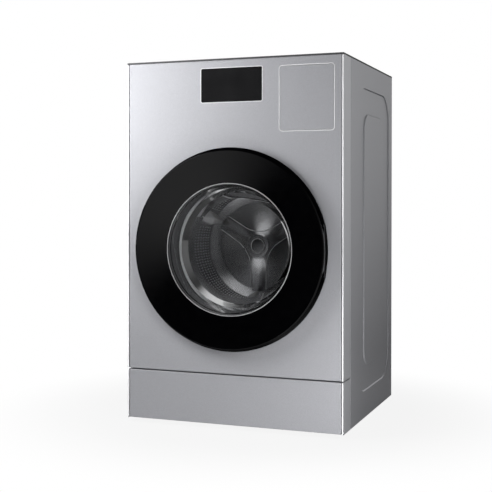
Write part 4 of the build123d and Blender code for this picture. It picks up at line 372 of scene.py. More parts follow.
class Workshop:
    """Holds the loaded frame and the finishes, and takes in finished pieces."""

    def __init__(self, frame: dict) -> None:
        """Writes every finish once.

        Args:
            frame: the loaded frame.
        """
        self.nodes: dict[str, Object] = frame["nodes"]
        self.slots = {row["node"]: row["material_slot"] for row in frame["record"]["subparts"]}
        self.materials = {finish.name: finish.build() for finish in FINISHES}

    def dress_nodes(self) -> None:
        """Gives every node of the frame its own finish or that of its slot."""
        for name, node in self.nodes.items():
            finish = NODE_FINISHES.get(name, self.slots[name])
            node.data.materials.clear()
            node.data.materials.append(self.materials[finish])
            LOG.info("node %s wears %s", name, finish)

    def piece(self, mesh: BMesh, name: str, slot: str, body: str, smooth: float = 40.0,
              replaces: tuple[str, ...] = (), finish: str = "") -> Object:
        """Makes an object of a finished mesh and puts it on its body.

        Args:
            mesh: the finished shape, freed here.
            name: name of the new piece.
            slot: the material slot it takes its finish from.
            body: the body that carries it.
            smooth: edges under this many degrees are shaded smooth.
            replaces: nodes that it stands for.
            finish: a finish of its own, where it differs from the slot's.

        Returns:
            The new object.
        """
        data = bpy.data.meshes.new(name)
        mesh.to_mesh(data)
        mesh.free()
        data.shade_smooth()
        data.set_sharp_from_angle(angle=math.radians(smooth))
        data.materials.append(self.materials[finish or slot])
        thing = bpy.data.objects.new(name, data)
        bpy.context.scene.collection.objects.link(thing)
        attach(thing, body)
        if replaces:
            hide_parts(*replaces)
        LOG.info("piece %s rides %s with %d faces", name, body, len(data.polygons))
        return thing


def spot(x: float, depth: float, z: float) -> Vector:
    """Gives a place from its millimetres to the right, behind the front face and above the floor."""
    return Vector((x * MM, FRONT + depth * MM, z * MM))


def ray(angle: float) -> Vector:
    """Gives the direction at an angle in degrees about the drum's axis, from the right towards the top."""
    return Vector((math.cos(math.radians(angle)), 0.0, math.sin(math.radians(angle))))


def drum_angle(place: Vector) -> float:
    """Gives the angle in degrees of a place about the drum's axis, from the right towards the top."""
    return math.degrees(math.atan2(place.z, place.x)) % 360.0


def thicken(thing: Object, thickness: float, offset: float) -> None:
    """Gives a sheet a wall.

    Args:
        thing: the object of the sheet.
        thickness: thickness of the wall in millimetres.
        offset: 0 to spread the wall to both sides, -1 to put it inside.
    """
    wall = thing.modifiers.new("wall", "SOLIDIFY")
    wall.thickness = thickness * MM
    wall.offset = offset


def bevel(mesh: BMesh, parts: Geometry, offset: float, affect: str, segments: int) -> None:
    """Cuts edges or corners back by an offset in millimetres, with so many faces across the cut."""
    bmesh.ops.bevel(mesh, geom=parts, offset=offset * MM, affect=affect, segments=segments,
                    profile=0.5, material=-1)


def edges_at(corners: list[BMVert]) -> list[BMEdge]:
    """Lists the edges that meet a few corners, each of them once."""
    return list(dict.fromkeys(edge for corner in corners for edge in corner.link_edges))


def lathe(profile: list[Pair], steps: int, closed: bool, centre: Vector = DRUM_CENTRE,
          axis: Vector = REARWARD) -> BMesh:
    """Turns a profile once about an axis, starting on its right.

    Args:
        profile: radius and place along the axis of each point, in millimetres.
        steps: faces round the turn.
        closed: whether the profile is a closed outline.
        centre: a point of the axis, from which the places count.
        axis: direction of the axis.

    Returns:
        The turned mesh, merged and with its normals outwards.
    """
    mesh = bmesh.new()
    points = [centre + RIGHT * (radius * MM) + axis * (along * MM) for radius, along in profile]
    verts = [mesh.verts.new(point) for point in points]
    ends = verts[1:] + verts[:1] if closed else verts[1:]
    line = verts + [mesh.edges.new(pair) for pair in zip(verts, ends)]
    bmesh.ops.spin(mesh, geom=line, cent=centre, axis=axis, angle=FULL_TURN, steps=steps, use_merge=True)
    bmesh.ops.remove_doubles(mesh, verts=mesh.verts, dist=MERGE_GAP)
    bmesh.ops.recalc_face_normals(mesh, faces=mesh.faces)
    return mesh


@dataclass
class DrumSkin:
    """Perforated sheet of the drum, in millimetres from the front face."""

    shop: Workshop
    radius: float = 239.9
    near: float = 112.2
    far: float = 371.8
    sheet: float = 1.0
    columns: int = 132
    rows: int = 14
    plain_rows: tuple[int, int] = (1, 3)
    hole_margin: float = 3.2
    hole_corners: int = 8
    hole_area: float = 90.0
    corner_cut: float = 2.0
    lifter_angles: tuple[float, ...] = (30.0, 150.0, 270.0)
    lifter_half_angle: float = 9.0

    def build(self) -> None:
        """Turns a rowed line, twists the rows and opens a hole in every cell that no lifter covers."""
        step = (self.far - self.near) / self.rows
        profile = [(self.radius, self.near + n * step) for n in range(self.rows + 1)]
        mesh = lathe(profile, self.columns, False)
        half_cell = FULL_TURN / self.columns / 2
        for row, (_, along) in enumerate(profile):
            verts = [v for v in mesh.verts if abs(v.co.y - FRONT - along * MM) < LEVEL_GAP]
            twist = Matrix.Rotation(half_cell * (row % 2), 3, "Y")
            bmesh.ops.rotate(mesh, verts=verts, cent=DRUM_CENTRE, matrix=twist)
        cells = [face for face in mesh.faces if self.open_cell(face, step)]
        bmesh.ops.inset_individual(mesh, faces=cells, thickness=self.hole_margin * MM, use_even_offset=True)
        corners = list(dict.fromkeys(v for face in cells for v in face.verts))
        bevel(mesh, corners, self.corner_cut, "VERTICES", 1)
        holes = [face for face in mesh.faces
                 if len(face.verts) == self.hole_corners and face.calc_area() < self.hole_area * MM * MM]
        bmesh.ops.delete(mesh, geom=holes, context="FACES")
        bmesh.ops.solidify(mesh, geom=list(mesh.faces), thickness=self.sheet * MM)
        self.shop.piece(mesh, "drum_skin", "drum_steel", "drum", replaces=("drum_shell",))

    def open_cell(self, face: BMFace, step: float) -> bool:
        """Tells whether a cell gets a hole.

        Args:
            face: the cell.
            step: length of a row in millimetres.

        Returns:
            True where neither a lifter nor a seam covers the cell.
        """
        place = face.calc_center_median() - DRUM_CENTRE
        angle = drum_angle(place)
        clear = all(abs((angle - lifter + 180.0) % 360.0 - 180.0) > self.lifter_half_angle
                    for lifter in self.lifter_angles)
        front, rear = self.plain_rows
        return clear and self.near + front * step < place.y / MM < self.far - rear * step


@dataclass
class Gasket:
    """Bellows between the front face's mouth and the tub's mouth, in millimetres."""

    shop: Workshop
    steps: int = 96
    wall: float = 2.6
    line: tuple[Pair, ...] = ((205.2, 3.6), (205.2, 14.0), (202.0, 19.0), (194.0, 24.6), (190.6, 27.2),
                              (191.6, 30.6), (197.5, 33.0), (206.0, 36.0), (214.5, 40.5), (217.6, 46.0),
                              (215.6, 51.5), (210.4, 57.0), (209.6, 63.0), (211.6, 69.0), (211.8, 76.0),
                              (209.0, 83.0), (207.6, 90.0), (207.6, 97.0))
    slot_depths: Pair = (57.0, 69.0)
    slot_angles: Pair = (226.0, 250.0)

    def build(self) -> None:
        """Turns the bellows' line, opens the rinse slot and gives it a wall."""
        mesh = lathe(list(self.line), self.steps, False)
        slot = [face for face in mesh.faces if self.in_slot(face.calc_center_median() - DRUM_CENTRE)]
        bmesh.ops.delete(mesh, geom=slot, context="FACES")
        thing = self.shop.piece(mesh, "gasket_bellows", "rubber", "cabinet", smooth=180.0,
                                replaces=("door_gasket",), finish="gasket_rubber")
        thicken(thing, self.wall, 0.0)
        smooth = thing.modifiers.new("smooth", "SUBSURF")
        smooth.levels = smooth.render_levels = 1

    def in_slot(self, place: Vector) -> bool:
        """Tells whether a place, from the drum's axis at the front, lies in the rinse slot."""
        return (self.slot_depths[0] < place.y / MM < self.slot_depths[1]
                and self.slot_angles[0] < drum_angle(place) < self.slot_angles[1])


class Strand:
    """A round wire or tube grown ring by ring along runs and bends."""

    def __init__(self, start: Vector, heading: Vector, radius: float, sides: int) -> None:
        """Starts the strand with one ring.

        Args:
            start: centre of the first ring in metres.
            heading: direction of growth.
            radius: radius of the ring in millimetres.
            sides: corners of the ring.
        """
        self.mesh = bmesh.new()
        self.centre = start.copy()
        self.heading = heading.normalized()
        turn = self.heading.to_track_quat("Z", "Y").to_matrix().to_4x4()
        bmesh.ops.create_circle(self.mesh, cap_ends=False, radius=radius * MM, segments=sides,
                                matrix=Matrix.Translation(start) @ turn)
        self.ring = list(self.mesh.edges)

    def rim(self) -> list[BMVert]:
        """Gives the corners of the last ring."""
        return list(dict.fromkeys(corner for edge in self.ring for corner in edge.verts))

    def run(self, length: float, swell: float = 1.0) -> None:
        """Grows straight on and widens the new end.

        Args:
            length: length of the run in millimetres.
            swell: size of the new ring against the last one.
        """
        grown = bmesh.ops.extrude_edge_only(self.mesh, edges=self.ring)["geom"]
        corners = [part for part in grown if isinstance(part, BMVert)]
        fresh = set(corners)
        self.ring = [part for part in grown
                     if isinstance(part, BMEdge) and set(part.verts) <= fresh]
        step = self.heading * (length * MM)
        self.centre += step
        bmesh.ops.translate(self.mesh, verts=corners, vec=step)
        bmesh.ops.scale(self.mesh, verts=corners, vec=(swell, swell, swell),
                        space=Matrix.Translation(-self.centre))

    def bend(self, pivot: Vector, axis: Vector, angle: float, steps: int, climb: float = 0.0) -> None:
        """Grows round an axis.

        Args:
            pivot: a point of the axis.
            axis: direction of the axis.
            angle: angle of the bend in degrees.
            steps: rings in the bend.
            climb: way along the axis over the whole bend in millimetres.
        """
        rise = axis * (climb * MM)
        grown = bmesh.ops.spin(self.mesh, geom=self.ring + self.rim(), cent=pivot, axis=axis,
                               dvec=rise / steps, angle=math.radians(angle), steps=steps)["geom_last"]
        self.ring = [part for part in grown if isinstance(part, BMEdge)]
        turn = Matrix.Rotation(math.radians(angle), 3, axis)
        self.centre = pivot + turn @ (self.centre - pivot) + rise
        self.heading = turn @ self.heading

    def loop(self) -> BMesh:
        """Joins the last ring to the first one and gives the finished loop."""
        bmesh.ops.remove_doubles(self.mesh, verts=self.mesh.verts, dist=LOOP_GAP)
        return self.tube()

    def rod(self) -> BMesh:
        """Closes both ends.

        Returns:
            The finished rod.
        """
        ends = [edge for edge in self.mesh.edges if edge.is_boundary]
        bmesh.ops.holes_fill(self.mesh, edges=ends, sides=0)
        return self.tube()

    def tube(self) -> BMesh:
        """Turns the faces outwards and gives the finished mesh."""
        bmesh.ops.recalc_face_normals(self.mesh, faces=self.mesh.faces)
        return self.mesh


@dataclass
class FaceBeads:
    """Beads on the front corners and round the display and the drawer, in millimetres; their near-white
    finish paints bright highlight lines along these edges.
    """

    shop: Workshop
    corner_x: float = 340.9
    corner_depth: float = 1.4
    corner_wire: float = 2.05
    corner_sides: int = 12
    corner_spans: tuple[Pair, ...] = ((14.0, 162.6), (167.4, 1104.0))
    tip: float = 0.5
    tip_share: float = 0.6
    display: tuple[float, ...] = (0.0, 1030.5, 97.65, 51.65, 5.15)
    drawer: tuple[float, ...] = (233.0, 984.75, 83.05, 95.8, 9.05)
    frame_wire: float = 0.9
    frame_sides: int = 8
    frame_steps: int = 6

    def build(self) -> None:
        """Draws the corner beads and both frames."""
        for side, hand in ((-1.0, "left"), (1.0, "right")):
            for (low, high), part in zip(self.corner_spans, ("low", "high")):
                self.corner(f"corner_bead_{hand}_{part}", side * self.corner_x, low, high)
        self.frame("display_bezel", *self.display)
        self.frame("drawer_opening_bead", *self.drawer)

    def corner(self, name: str, x: float, low: float, high: float) -> None:
        """Runs a bead with eased tips up a corner.

        Args:
            name: name of the piece.
            x: place of the bead to the right.
            low: height of its lower tip.
            high: height of its upper tip.
        """
        start = spot(x, self.corner_depth, low)
        strand = Strand(start, UP, self.tip_share * self.corner_wire, self.corner_sides)
        strand.run(self.tip, 1.0 / self.tip_share)
        strand.run(high - low - 2.0 * self.tip)
        strand.run(self.tip, self.tip_share)
        # The near-white finish paints a highlight line up the corner.
        self.shop.piece(strand.rod(), name, "body_paint", "cabinet", finish="painted_highlight_white")

    def frame(self, name: str, x: float, z: float, half_x: float, half_z: float, radius: float) -> None:
        """Runs a bead round a rounded rectangle on the face.

        Args:
            name: name of the piece.
            x: middle of the rectangle to the right.
            z: middle of the rectangle above the floor.
            half_x: half of its width.
            half_z: half of its height.
            radius: radius of its corners.
        """
        start = spot(x + radius - half_x, 0.0, z - half_z)
        strand = Strand(start, RIGHT, self.frame_wire, self.frame_sides)
        for half in (half_x, half_z, half_x, half_z):
            strand.run(2.0 * (half - radius))
            inward = strand.heading.cross(REARWARD)
            strand.bend(strand.centre + inward * (radius * MM), -REARWARD, 90.0, self.frame_steps)
        # The near-white finish paints a highlight line round the opening.
        self.shop.piece(strand.loop(), name, "body_paint", "cabinet", smooth=60.0, finish="painted_highlight_white")


@dataclass
class RoundBead:
    """Bead turned about the drum's axis, in millimetres; in the pale edge finish it paints a bright
    highlight ring.
    """

    shop: Workshop
    name: str
    slot: str
    body: str
    radius: float
    depth: float
    bead: float
    finish: str
    sides: int = 10
    steps: int = 144

    def build(self) -> None:
        """Turns the bead's round outline about the drum's axis."""
        angles = [FULL_TURN * n / self.sides for n in range(self.sides)]
        profile = [(self.radius + self.bead * math.cos(a), self.depth + self.bead * math.sin(a))
                   for a in angles]
        mesh = lathe(profile, self.steps, True)
        self.shop.piece(mesh, self.name, self.slot, self.body, smooth=60.0, finish=self.finish)


@dataclass
class StarEdges:
    """Rolled edges of the three arms of the drum's back, in millimetres, in a pale finish that paints
    bright highlight lines along them.
    """

    shop: Workshop
    arm_half: float = 36.0
    root_radius: float = 130.0
    reach: float = 200.0
    wire: float = 1.8
    wire_sides: int = 8
    root_steps: int = 24
    shoulder: Pair = (56.0, 304.6)
    rim: Pair = (214.0, 349.6)
    petals: tuple[float, ...] = (90.0, 210.0, 330.0)
    arm_angle: float = 60.0

    def build(self) -> None:
        """Rolls the edge round each petal."""
        for number, angle in enumerate(self.petals, 1):
            self.roll(angle, f"star_edge_{number}")

    def roll(self, angle: float, name: str) -> None:
        """Grows an edge in along one arm, round the root and out along the next, on the arms' cone.

        Args:
            angle: angle of the petal's middle in degrees.
            name: name of the piece.
        """
        half_bend = math.radians(self.arm_angle / 2)
        middle = (self.arm_half + self.root_radius) / math.cos(half_bend)
        straight = self.reach - middle * math.sin(half_bend)
        arm = ray(angle - self.arm_angle)
        across = ray(angle - self.arm_angle + 90.0)
        start = DRUM_CENTRE + (arm * self.reach + across * self.arm_half) * MM
        strand = Strand(start, -arm, self.wire, self.wire_sides)
        strand.run(straight)
        strand.bend(DRUM_CENTRE + ray(angle) * (middle * MM), REARWARD, self.arm_angle, self.root_steps)
        strand.run(straight)
        mesh = strand.rod()
        slope = (self.rim[1] - self.shoulder[1]) / (self.rim[0] - self.shoulder[0])
        for corner in mesh.verts:
            place = corner.co - DRUM_CENTRE
            radius = math.hypot(place.x, place.z) / MM
            corner.co.y += (self.shoulder[1] + slope * (radius - self.shoulder[0])) * MM
        # The pale finish paints a highlight line along the petal's edge.
        self.shop.piece(mesh, name, "drum_steel", "drum", smooth=60.0, finish="painted_highlight_satin")


@dataclass
class HangingSprings:
    """Two wound springs that carry the tub from the beam, in millimetres."""

    shop: Workshop
    x: float = 233.3
    depth: float = 274.0
    foot: float = 711.7
    head: float = 878.5
    coil_low: float = 773.0
    coil_high: float = 863.0
    coil_radius: float = 11.8
    wire: float = 2.1
    wire_sides: int = 10
    button: float = 4.3
    button_height: float = 4.0
    button_step: float = 0.2
    knee: float = 4.0
    knee_steps: int = 4
    hook_steps: int = 8
    turns: int = 9
    turn_steps: int = 20

    def build(self) -> None:
        """Winds a spring on each side."""
        for side, name in ((-1.0, "left"), (1.0, "right")):
            self.wind(side * self.x, f"spring_coil_{name}")

    def wind(self, x: float, name: str) -> None:
        """Grows one spring from its lower button to its upper one.

        Args:
            x: place of the spring's axis.
            name: name of the piece.
        """
        button = self.button_height + self.button_step
        strand = Strand(spot(x, self.depth, self.foot), UP, self.button, self.wire_sides)
        strand.run(self.button_height)
        strand.run(self.button_step, self.wire / self.button)
        strand.run(self.coil_low - self.knee - self.foot - button)
        strand.bend(strand.centre + RIGHT * (self.knee * MM), REARWARD, 90.0, self.knee_steps)
        self.hook(strand)
        strand.bend(spot(x, self.depth, 0.0), UP, 360.0 * self.turns, self.turn_steps * self.turns,
                    self.coil_high - self.coil_low)
        self.hook(strand)
        strand.bend(strand.centre + UP * (self.knee * MM), strand.heading.cross(UP), 90.0, self.knee_steps)
        strand.run(self.head - button - strand.centre.z / MM)
        strand.run(self.button_step, self.button / self.wire)
        strand.run(self.button_height)
        self.shop.piece(strand.rod(), name, "galvanised", "cabinet", replaces=("suspension_springs",))

    def hook(self, strand: Strand) -> None:
        """Sweeps the wire between the spring's axis and its coil.

        Args:
            strand: the spring so far.
        """
        sweep = (self.coil_radius ** 2 - self.knee ** 2) / (2.0 * self.coil_radius)
        angle = 90.0 + math.degrees(math.atan2(sweep, self.knee))
        strand.bend(strand.centre + UP.cross(strand.heading) * (sweep * MM), UP, angle, self.hook_steps)


@dataclass(frozen=True)
class HoseRun:
    """A straight hose: its piece, the node it stands for, its first end, heading, length and radius."""

    name: str
    node: str
    start: Vector
    heading: Vector
    length: float
    radius: float


HOSE_RUNS: tuple[HoseRun, ...] = (
    HoseRun("dispenser_bellows", "dispenser_hose", spot(175.0, 180.0, 770.0), UP, 117.0, 17.2),
    HoseRun("sump_bellows", "sump_hose", spot(150.0, 130.0, 142.0), UP, 130.0, 23.2),
    HoseRun("inlet_ribbed_hose", "inlet_hose", spot(234.0, 310.4, 1010.0), REARWARD, 308.2, 8.9),
)


@dataclass
class Hoses:
    """Moulded hoses between dispenser, tub, pump, valve and rear fitting, in millimetres."""

    shop: Workshop
    sides: int = 28
    wall: float = 2.0
    cuff: float = 22.0
    pitch: float = 6.4
    groove: float = 0.9
    rib_shares: tuple[float, ...] = (0.2, 0.25, 0.2, 0.35)
    drain_start: Triple = (185.0, 153.0, 150.2)
    drain_radius: float = 13.2
    drain_rise: float = 41.8
    drain_bend: float = 40.0
    drain_bend_steps: int = 10
    drain_lengths: Triple = (10.0, 410.0, 25.8)
    drain_clip: float = 8.0
    clip_share: float = 0.4
    clip_half: float = 3.5
    clip_band: float = 0.9
    clip_block: float = 4.0
    clip_block_way: float = 2.2
    clip_bevel: float = 0.6

    def build(self) -> None:
        """Grows every hose and puts a clip round each of its ends."""
        for hose in HOSE_RUNS:
            self.straight(hose)
        self.drain()

    def ribs(self, strand: Strand, length: float) -> None:
        """Grows a ribbed length.

        Args:
            strand: the hose so far.
            length: the ribbed length.
        """
        count = max(1, round(length / self.pitch))
        fall, floor, rise, crest = (share * (length / count) for share in self.rib_shares)
        for _ in range(count):
            strand.run(fall, self.groove)
            strand.run(floor)
            strand.run(rise, 1.0 / self.groove)
            strand.run(crest)

    def straight(self, hose: HoseRun) -> None:
        """Grows a straight hose with a plain cuff and a clip at each end.

        Args:
            hose: the hose to grow.
        """
        strand = Strand(hose.start, hose.heading, hose.radius, self.sides)
        strand.run(self.cuff)
        self.ribs(strand, hose.length - 2 * self.cuff)
        strand.run(self.cuff)
        self.wrap(strand, hose.name, hose.node)
        inset = hose.heading * (self.clip_share * self.cuff * MM)
        self.clip(f"{hose.name}_clip_near", hose.start + inset, hose.heading, hose.radius)
        self.clip(f"{hose.name}_clip_far", strand.centre - inset, hose.heading, hose.radius)

    def drain(self) -> None:
        """Grows the drain hose up from the pump, round its bend and back to the rear fitting."""
        start = spot(*self.drain_start)
        plain, ribbed, cuff = self.drain_lengths
        strand = Strand(start, UP, self.drain_radius, self.sides)
        strand.run(self.drain_rise)
        strand.bend(strand.centre + REARWARD * (self.drain_bend * MM), -RIGHT, 90.0, self.drain_bend_steps)
        strand.run(plain)
        self.ribs(strand, ribbed)
        strand.run(cuff)
        self.wrap(strand, "drain_ribbed_hose", "drain_hose")
        inset = self.drain_clip * MM
        self.clip("drain_clip_near", start + UP * inset, UP, self.drain_radius)
        self.clip("drain_clip_far", strand.centre - REARWARD * inset, REARWARD, self.drain_radius)

    def wrap(self, strand: Strand, name: str, node: str) -> None:
        """Takes in a grown hose in place of its node and gives it its wall."""
        thing = self.shop.piece(strand.tube(), name, "rubber", "cabinet", smooth=50.0, replaces=(node,))
        thicken(thing, self.wall, -1.0)

    def clip(self, name: str, centre: Vector, axis: Vector, radius: float) -> None:
        """Puts a flat spring band with a screw block on its right round a hose.

        Args:
            name: name of the piece.
            centre: middle of the band.
            axis: direction of the hose.
            radius: outer radius of the hose.
        """
        outer, half = radius + self.clip_band, self.clip_half
        band = [(radius, -half), (outer, -half), (outer, half), (radius, half)]
        mesh = lathe(band, self.sides, True, centre, axis)
        block = bmesh.ops.create_cube(mesh, size=self.clip_block * MM)["verts"]
        way = RIGHT * ((radius + self.clip_block_way) * MM)
        bmesh.ops.translate(mesh, verts=block, vec=centre + way)
        bevel(mesh, edges_at(block), self.clip_bevel, "EDGES", 2)
        self.shop.piece(mesh, name, "steel", "cabinet")


@dataclass
class RearFittings:
    """Screws of the rear panel and the access cover, and threads of the inlets, in millimetres."""

    shop: Workshop
    panel_back: float = 660.0
    cover_back: float = 661.0
    edge_x: float = 327.0
    edge_heights: tuple[float, ...] = (40.0, 290.0, 560.0, 830.0, 1080.0)
    row_x: tuple[float, ...] = (-165.0, 0.0, 165.0)
    cover_radius: float = 198.0
    cover_screws: int = 8
    washer_radii: Pair = (6.5, 5.8)
    washer_height: float = 1.2
    washer_sides: int = 16
    head_radii: Pair = (4.6, 4.6)
    head_height: float = 3.4
    head_sides: int = 6
    head_bevel: float = 0.7
    inlet_x: Pair = (206.0, 262.0)
    inlet_z: float = 1010.0
    inlet_radius: float = 13.0
    thread_gap: float = 2.4
    thread_wire: float = 0.9
    thread_sides: int = 6
    thread_turns: int = 4
    thread_steps: int = 24
    thread_length: float = 10.2

    def build(self) -> None:
        """Sets every screw and winds both threads."""
        panel = [(side * self.edge_x, z) for side in (-1, 1) for z in self.edge_heights]
        panel += [(x, z) for x in self.row_x for z in (self.edge_heights[0], self.edge_heights[-1])]
        self.screws("rear_panel_screws", panel, self.panel_back)
        angles = [360.0 * (n + 0.5) / self.cover_screws for n in range(self.cover_screws)]
        cover = [DRUM_CENTRE / MM + ray(angle) * self.cover_radius for angle in angles]
        self.screws("access_cover_screws", [(place.x, place.z) for place in cover], self.cover_back)
        for x, name in zip(self.inlet_x, ("hot", "cold")):
            self.thread(f"{name}_inlet_thread", x)

    def thread(self, name: str, x: float) -> None:
        """Winds the thread of one water inlet.

        Args:
            name: name of the piece.
            x: place of the inlet's axis.
        """
        start = spot(x + self.inlet_radius, self.panel_back + self.thread_gap, self.inlet_z)
        strand = Strand(start, UP, self.thread_wire, self.thread_sides)
        strand.bend(spot(x, 0.0, self.inlet_z), REARWARD, -360.0 * self.thread_turns,
                    self.thread_steps * self.thread_turns, self.thread_length)
        self.shop.piece(strand.rod(), name, "white_plastic", "cabinet")

    def screws(self, name: str, places: list[Pair], depth: float) -> None:
        """Sets a washer and a chamfered hexagon head at each place.

        Args:
            name: name of the piece.
            places: distance to the right and height of each screw.
            depth: depth of the surface they sit on.
        """
        mesh = bmesh.new()
        for x, z in places:
            seat = spot(x, depth, z)
            self.stud(mesh, seat, self.washer_radii, self.washer_height, self.washer_sides)
            seat = spot(x, depth + self.washer_height, z)
            head = self.stud(mesh, seat, self.head_radii, self.head_height, self.head_sides)
            top = max(corner.co.y for corner in head)
            rim = [edge for edge in edges_at(head)
                   if all(corner.co.y > top - LEVEL_GAP for corner in edge.verts)]
            bevel(mesh, rim, self.head_bevel, "EDGES", 2)
        self.shop.piece(mesh, name, "steel", "cabinet", smooth=30.0)

    def stud(self, mesh: BMesh, seat: Vector, radii: Pair, height: float, sides: int) -> list[BMVert]:
        """Stands a round or many-sided stud on a surface that faces the rear.

        Args:
            mesh: the mesh to build in.
            seat: middle of the stud's foot.
            radii: radius at the foot and at the top.
            height: height of the stud.
            sides: corners round the stud.

        Returns:
            The stud's corners.
        """
        middle = Matrix.Translation(seat + REARWARD * (height / 2 * MM))
        turn = Matrix.Rotation(math.radians(-90.0), 4, "X")
        return bmesh.ops.create_cone(mesh, cap_ends=True, segments=sides, radius1=radii[0] * MM,
                                     radius2=radii[1] * MM, depth=height * MM,
                                     matrix=middle @ turn)["verts"]


@dataclass(frozen=True)
class Lamp:
    """A square soft lamp: its place, the point it faces, the length of its side and its watts."""

    name: str
    place: Triple
    aim: Triple
    size: float
    power: float
    glossy: bool = False

    def hang(self) -> None:
        """Hangs the lamp where neither the view nor the window shows it."""
        data = bpy.data.lights.new(self.name, "AREA")
        data.size = self.size
        data.energy = self.power
        lamp = bpy.data.objects.new(self.name, data)
        lamp.location = self.place
        way = Vector(self.aim) - Vector(self.place)
        lamp.rotation_euler = way.to_track_quat("-Z", "Y").to_euler()
        lamp.visible_glossy = self.glossy
        lamp.visible_camera = False
        lamp.visible_transmission = False
        bpy.context.scene.collection.objects.link(lamp)


@dataclass(frozen=True)
class Glow:
    """A bright patch of the studio that gloss and glass show: its direction, its edge and its level."""

    aim: Triple
    edge: float
    level: float


LAMPS: tuple[Lamp, ...] = (
    Lamp("key_softbox", (-0.8, -0.8, 1.1), (-0.15, -0.3, 0.85), 0.8, 20.5),
    Lamp("far_softbox", (-0.8, -1.3, 1.5), (-0.15, -0.3, 0.85), 0.8, 5.0),
    Lamp("low_softbox", (0.55, -0.95, 0.12), (0.25, -0.3, 0.15), 0.3, 5.0),
    Lamp("right_softbox", (1.2, -1.5, 0.9), (0.2, -0.3, 0.6), 0.6, 12.0),
    Lamp("top_softbox", (0.0, 0.2, 3.2), (0.0, 0.0, 0.5), 2.0, 11.0),
    Lamp("back_softbox", (-0.9, 2.2, 1.5), (0.0, 0.33, 0.6), 1.6, 24.0, True),
    Lamp("drum_top_lamp", (0.0, -0.16, 0.76), (0.0, 0.03, 0.5), 0.2, 0.085, True),
    Lamp("drum_low_lamp", (-0.05, -0.18, 0.33), (0.0, 0.03, 0.54), 0.16, 0.055, True),
)

GLOWS: tuple[Glow, ...] = (
    Glow((-0.37, 0.93, 0.0), 0.80, 0.22),
    Glow((0.3, 0.95, 0.24), 0.90, 0.75),
    Glow((-0.20, -0.95, -0.24), 0.955, 0.46),
    Glow((0.0, -0.6, 0.8), 0.85, 0.55),
    Glow((0.966, -0.26, 0.05), 0.7, 0.07),
)


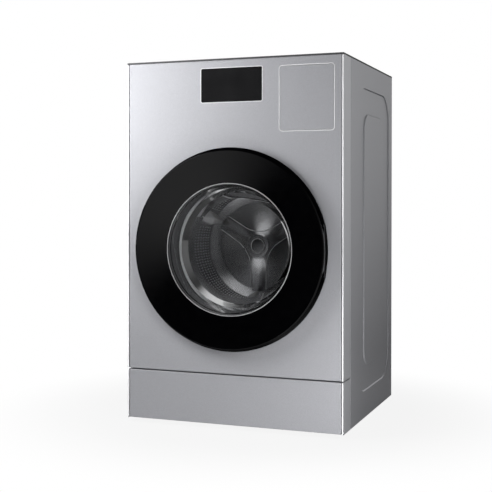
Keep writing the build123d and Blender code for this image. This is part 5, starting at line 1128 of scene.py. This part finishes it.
@dataclass
class Studio:
    """Floor, soft light and the camera of the photograph, in metres and degrees."""

    sensor: float = 36.0
    lens: float = 76.13
    shift: Pair = (0.063, -0.0732)
    place: Triple = (1.091, -3.2193, 0.6971)
    yaw: float = 21.495
    pitch: float = 0.73
    soft_level: float = 0.03
    calm_level: float = 0.035
    floor_half: float = 2.2
    floor_dark: Colour = (0.23, 0.23, 0.23)
    floor_light: Colour = (0.25, 0.25, 0.25)
    floor_scale: float = 3.0
    floor_detail: float = 2.0
    floor_rough: float = 0.9
    white_reach: Pair = (0.45, 1.0)
    white_share: Pair = (0.89, 1.0)
    gloss_reach: Pair = (0.6, 2.4)
    gloss_share: Pair = (0.1, 0.0)

    def build(self) -> None:
        """Sets up the view, the floor, the world and the lamps."""
        bpy.context.scene.view_settings.view_transform = "Standard"
        self.camera()
        self.floor()
        self.world()
        for lamp in LAMPS:
            lamp.hang()

    def camera(self) -> None:
        """Puts the camera where the photograph was taken from."""
        data = bpy.data.cameras.new("photo_view")
        data.sensor_width = self.sensor
        data.lens = self.lens
        data.shift_x, data.shift_y = self.shift
        view = bpy.data.objects.new("photo_view", data)
        view.location = self.place
        view.rotation_euler = (math.radians(90.0 - self.pitch), 0.0, math.radians(self.yaw))
        bpy.context.scene.collection.objects.link(view)
        bpy.context.scene.camera = view

    def floor(self) -> None:
        """Lays the floor."""
        mesh = bmesh.new()
        bmesh.ops.create_grid(mesh, x_segments=1, y_segments=1, size=self.floor_half)
        data = bpy.data.meshes.new("floor")
        mesh.to_mesh(data)
        mesh.free()
        data.materials.append(self.floor_white())
        thing = bpy.data.objects.new("floor", data)
        bpy.context.scene.collection.objects.link(thing)

    def floor_white(self) -> Material:
        """Writes a floor that shows white to the camera, keeps the shadow and is dim in gloss and glass.

        Returns:
            The material.
        """
        graph = Graph("floor_white")
        mottle = graph.noise(self.floor_scale, self.floor_detail)
        graph.fill(graph.shader, {
            "Base Color": graph.tint(mottle, self.floor_dark, self.floor_light),
            "Roughness": self.floor_rough,
            "Specular IOR Level": 0.0,
        })
        path = graph.add("ShaderNodeLightPath", {}).outputs
        length = graph.add("ShaderNodeVectorMath", {0: graph.place()}, operation="LENGTH")
        reach = length.outputs["Value"]
        white = graph.remap(reach, self.white_reach, self.white_share)
        near = graph.remap(reach, self.gloss_reach, self.gloss_share)
        mirrored = graph.calculate("MAXIMUM", path["Is Glossy Ray"], path["Is Transmission Ray"])
        gloss = graph.calculate("MULTIPLY", mirrored, near)
        share = graph.calculate("MULTIPLY_ADD", path["Is Camera Ray"], white, gloss)
        seen = graph.mix(share, graph.shader.outputs["BSDF"], graph.glow(1.0))
        calm = graph.mix(path["Is Transmission Ray"], seen, graph.glow(self.calm_level))
        graph.fill(graph.output, {"Surface": calm})
        return graph.material

    def world(self) -> None:
        """Surrounds the object with white for the view and a softer studio for gloss and light."""
        world = bpy.data.worlds.new("studio")
        world.use_nodes = True
        bpy.context.scene.world = world
        sheet = NodeSheet(world.node_tree)
        path = sheet.add("ShaderNodeLightPath", {}).outputs
        glows = self.glow_level(sheet, path["Is Transmission Ray"])
        soft = sheet.nodes["Background"]
        sheet.fill(soft, {"Color": WHITE, "Strength": self.soft_level})
        white = sheet.add("ShaderNodeBackground", {"Color": WHITE})
        gloss = sheet.add("ShaderNodeBackground", {"Color": glows})
        mirrored = sheet.calculate("MAXIMUM", path["Is Glossy Ray"], path["Is Transmission Ray"])
        inner = sheet.mix(mirrored, soft.outputs["Background"], gloss.outputs["Background"])
        outer = sheet.mix(path["Is Camera Ray"], inner, white.outputs["Background"])
        sheet.fill(sheet.nodes["World Output"], {"Surface": outer})

    def glow_level(self, sheet: NodeSheet, through_glass: Socket) -> Socket:
        """Adds up the studio's bright patches over the calm level that glass shows.

        Args:
            sheet: the world's nodes.
            through_glass: 1 for light that has passed through glass, else 0.

        Returns:
            The socket of the level in a direction.
        """
        direction = sheet.add("ShaderNodeTexCoord", {}).outputs["Generated"]
        total = sheet.calculate("MULTIPLY", through_glass, self.calm_level)
        for glow in GLOWS:
            inputs = {0: direction, 1: Vector(glow.aim).normalized()}
            dot = sheet.add("ShaderNodeVectorMath", inputs, operation="DOT_PRODUCT")
            patch = sheet.remap(dot.outputs["Value"], (glow.edge, 1.0), (0.0, glow.level))
            total = sheet.calculate("ADD", total, patch)
        return total


def main() -> None:
    """Loads the frame, dresses it and adds every further piece."""
    logging.basicConfig(level=logging.INFO)
    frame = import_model()
    shop = Workshop(frame)
    shop.dress_nodes()
    Studio().build()
    DrumSkin(shop).build()
    Gasket(shop).build()
    StarEdges(shop).build()
    RoundBead(shop, "window_bead", "steel", "door", radius=196.4, depth=-26.1, bead=1.3,
              finish="drum_satin").build()
    # The hub's ring takes the pale edge finish: a painted highlight ring round the hub.
    RoundBead(shop, "hub_ring", "hub_chrome", "drum", radius=30.5, depth=294.0, bead=1.9,
              finish="painted_highlight_satin").build()
    FaceBeads(shop).build()
    HangingSprings(shop).build()
    Hoses(shop).build()
    RearFittings(shop).build()


if __name__ == "__main__":
    main()
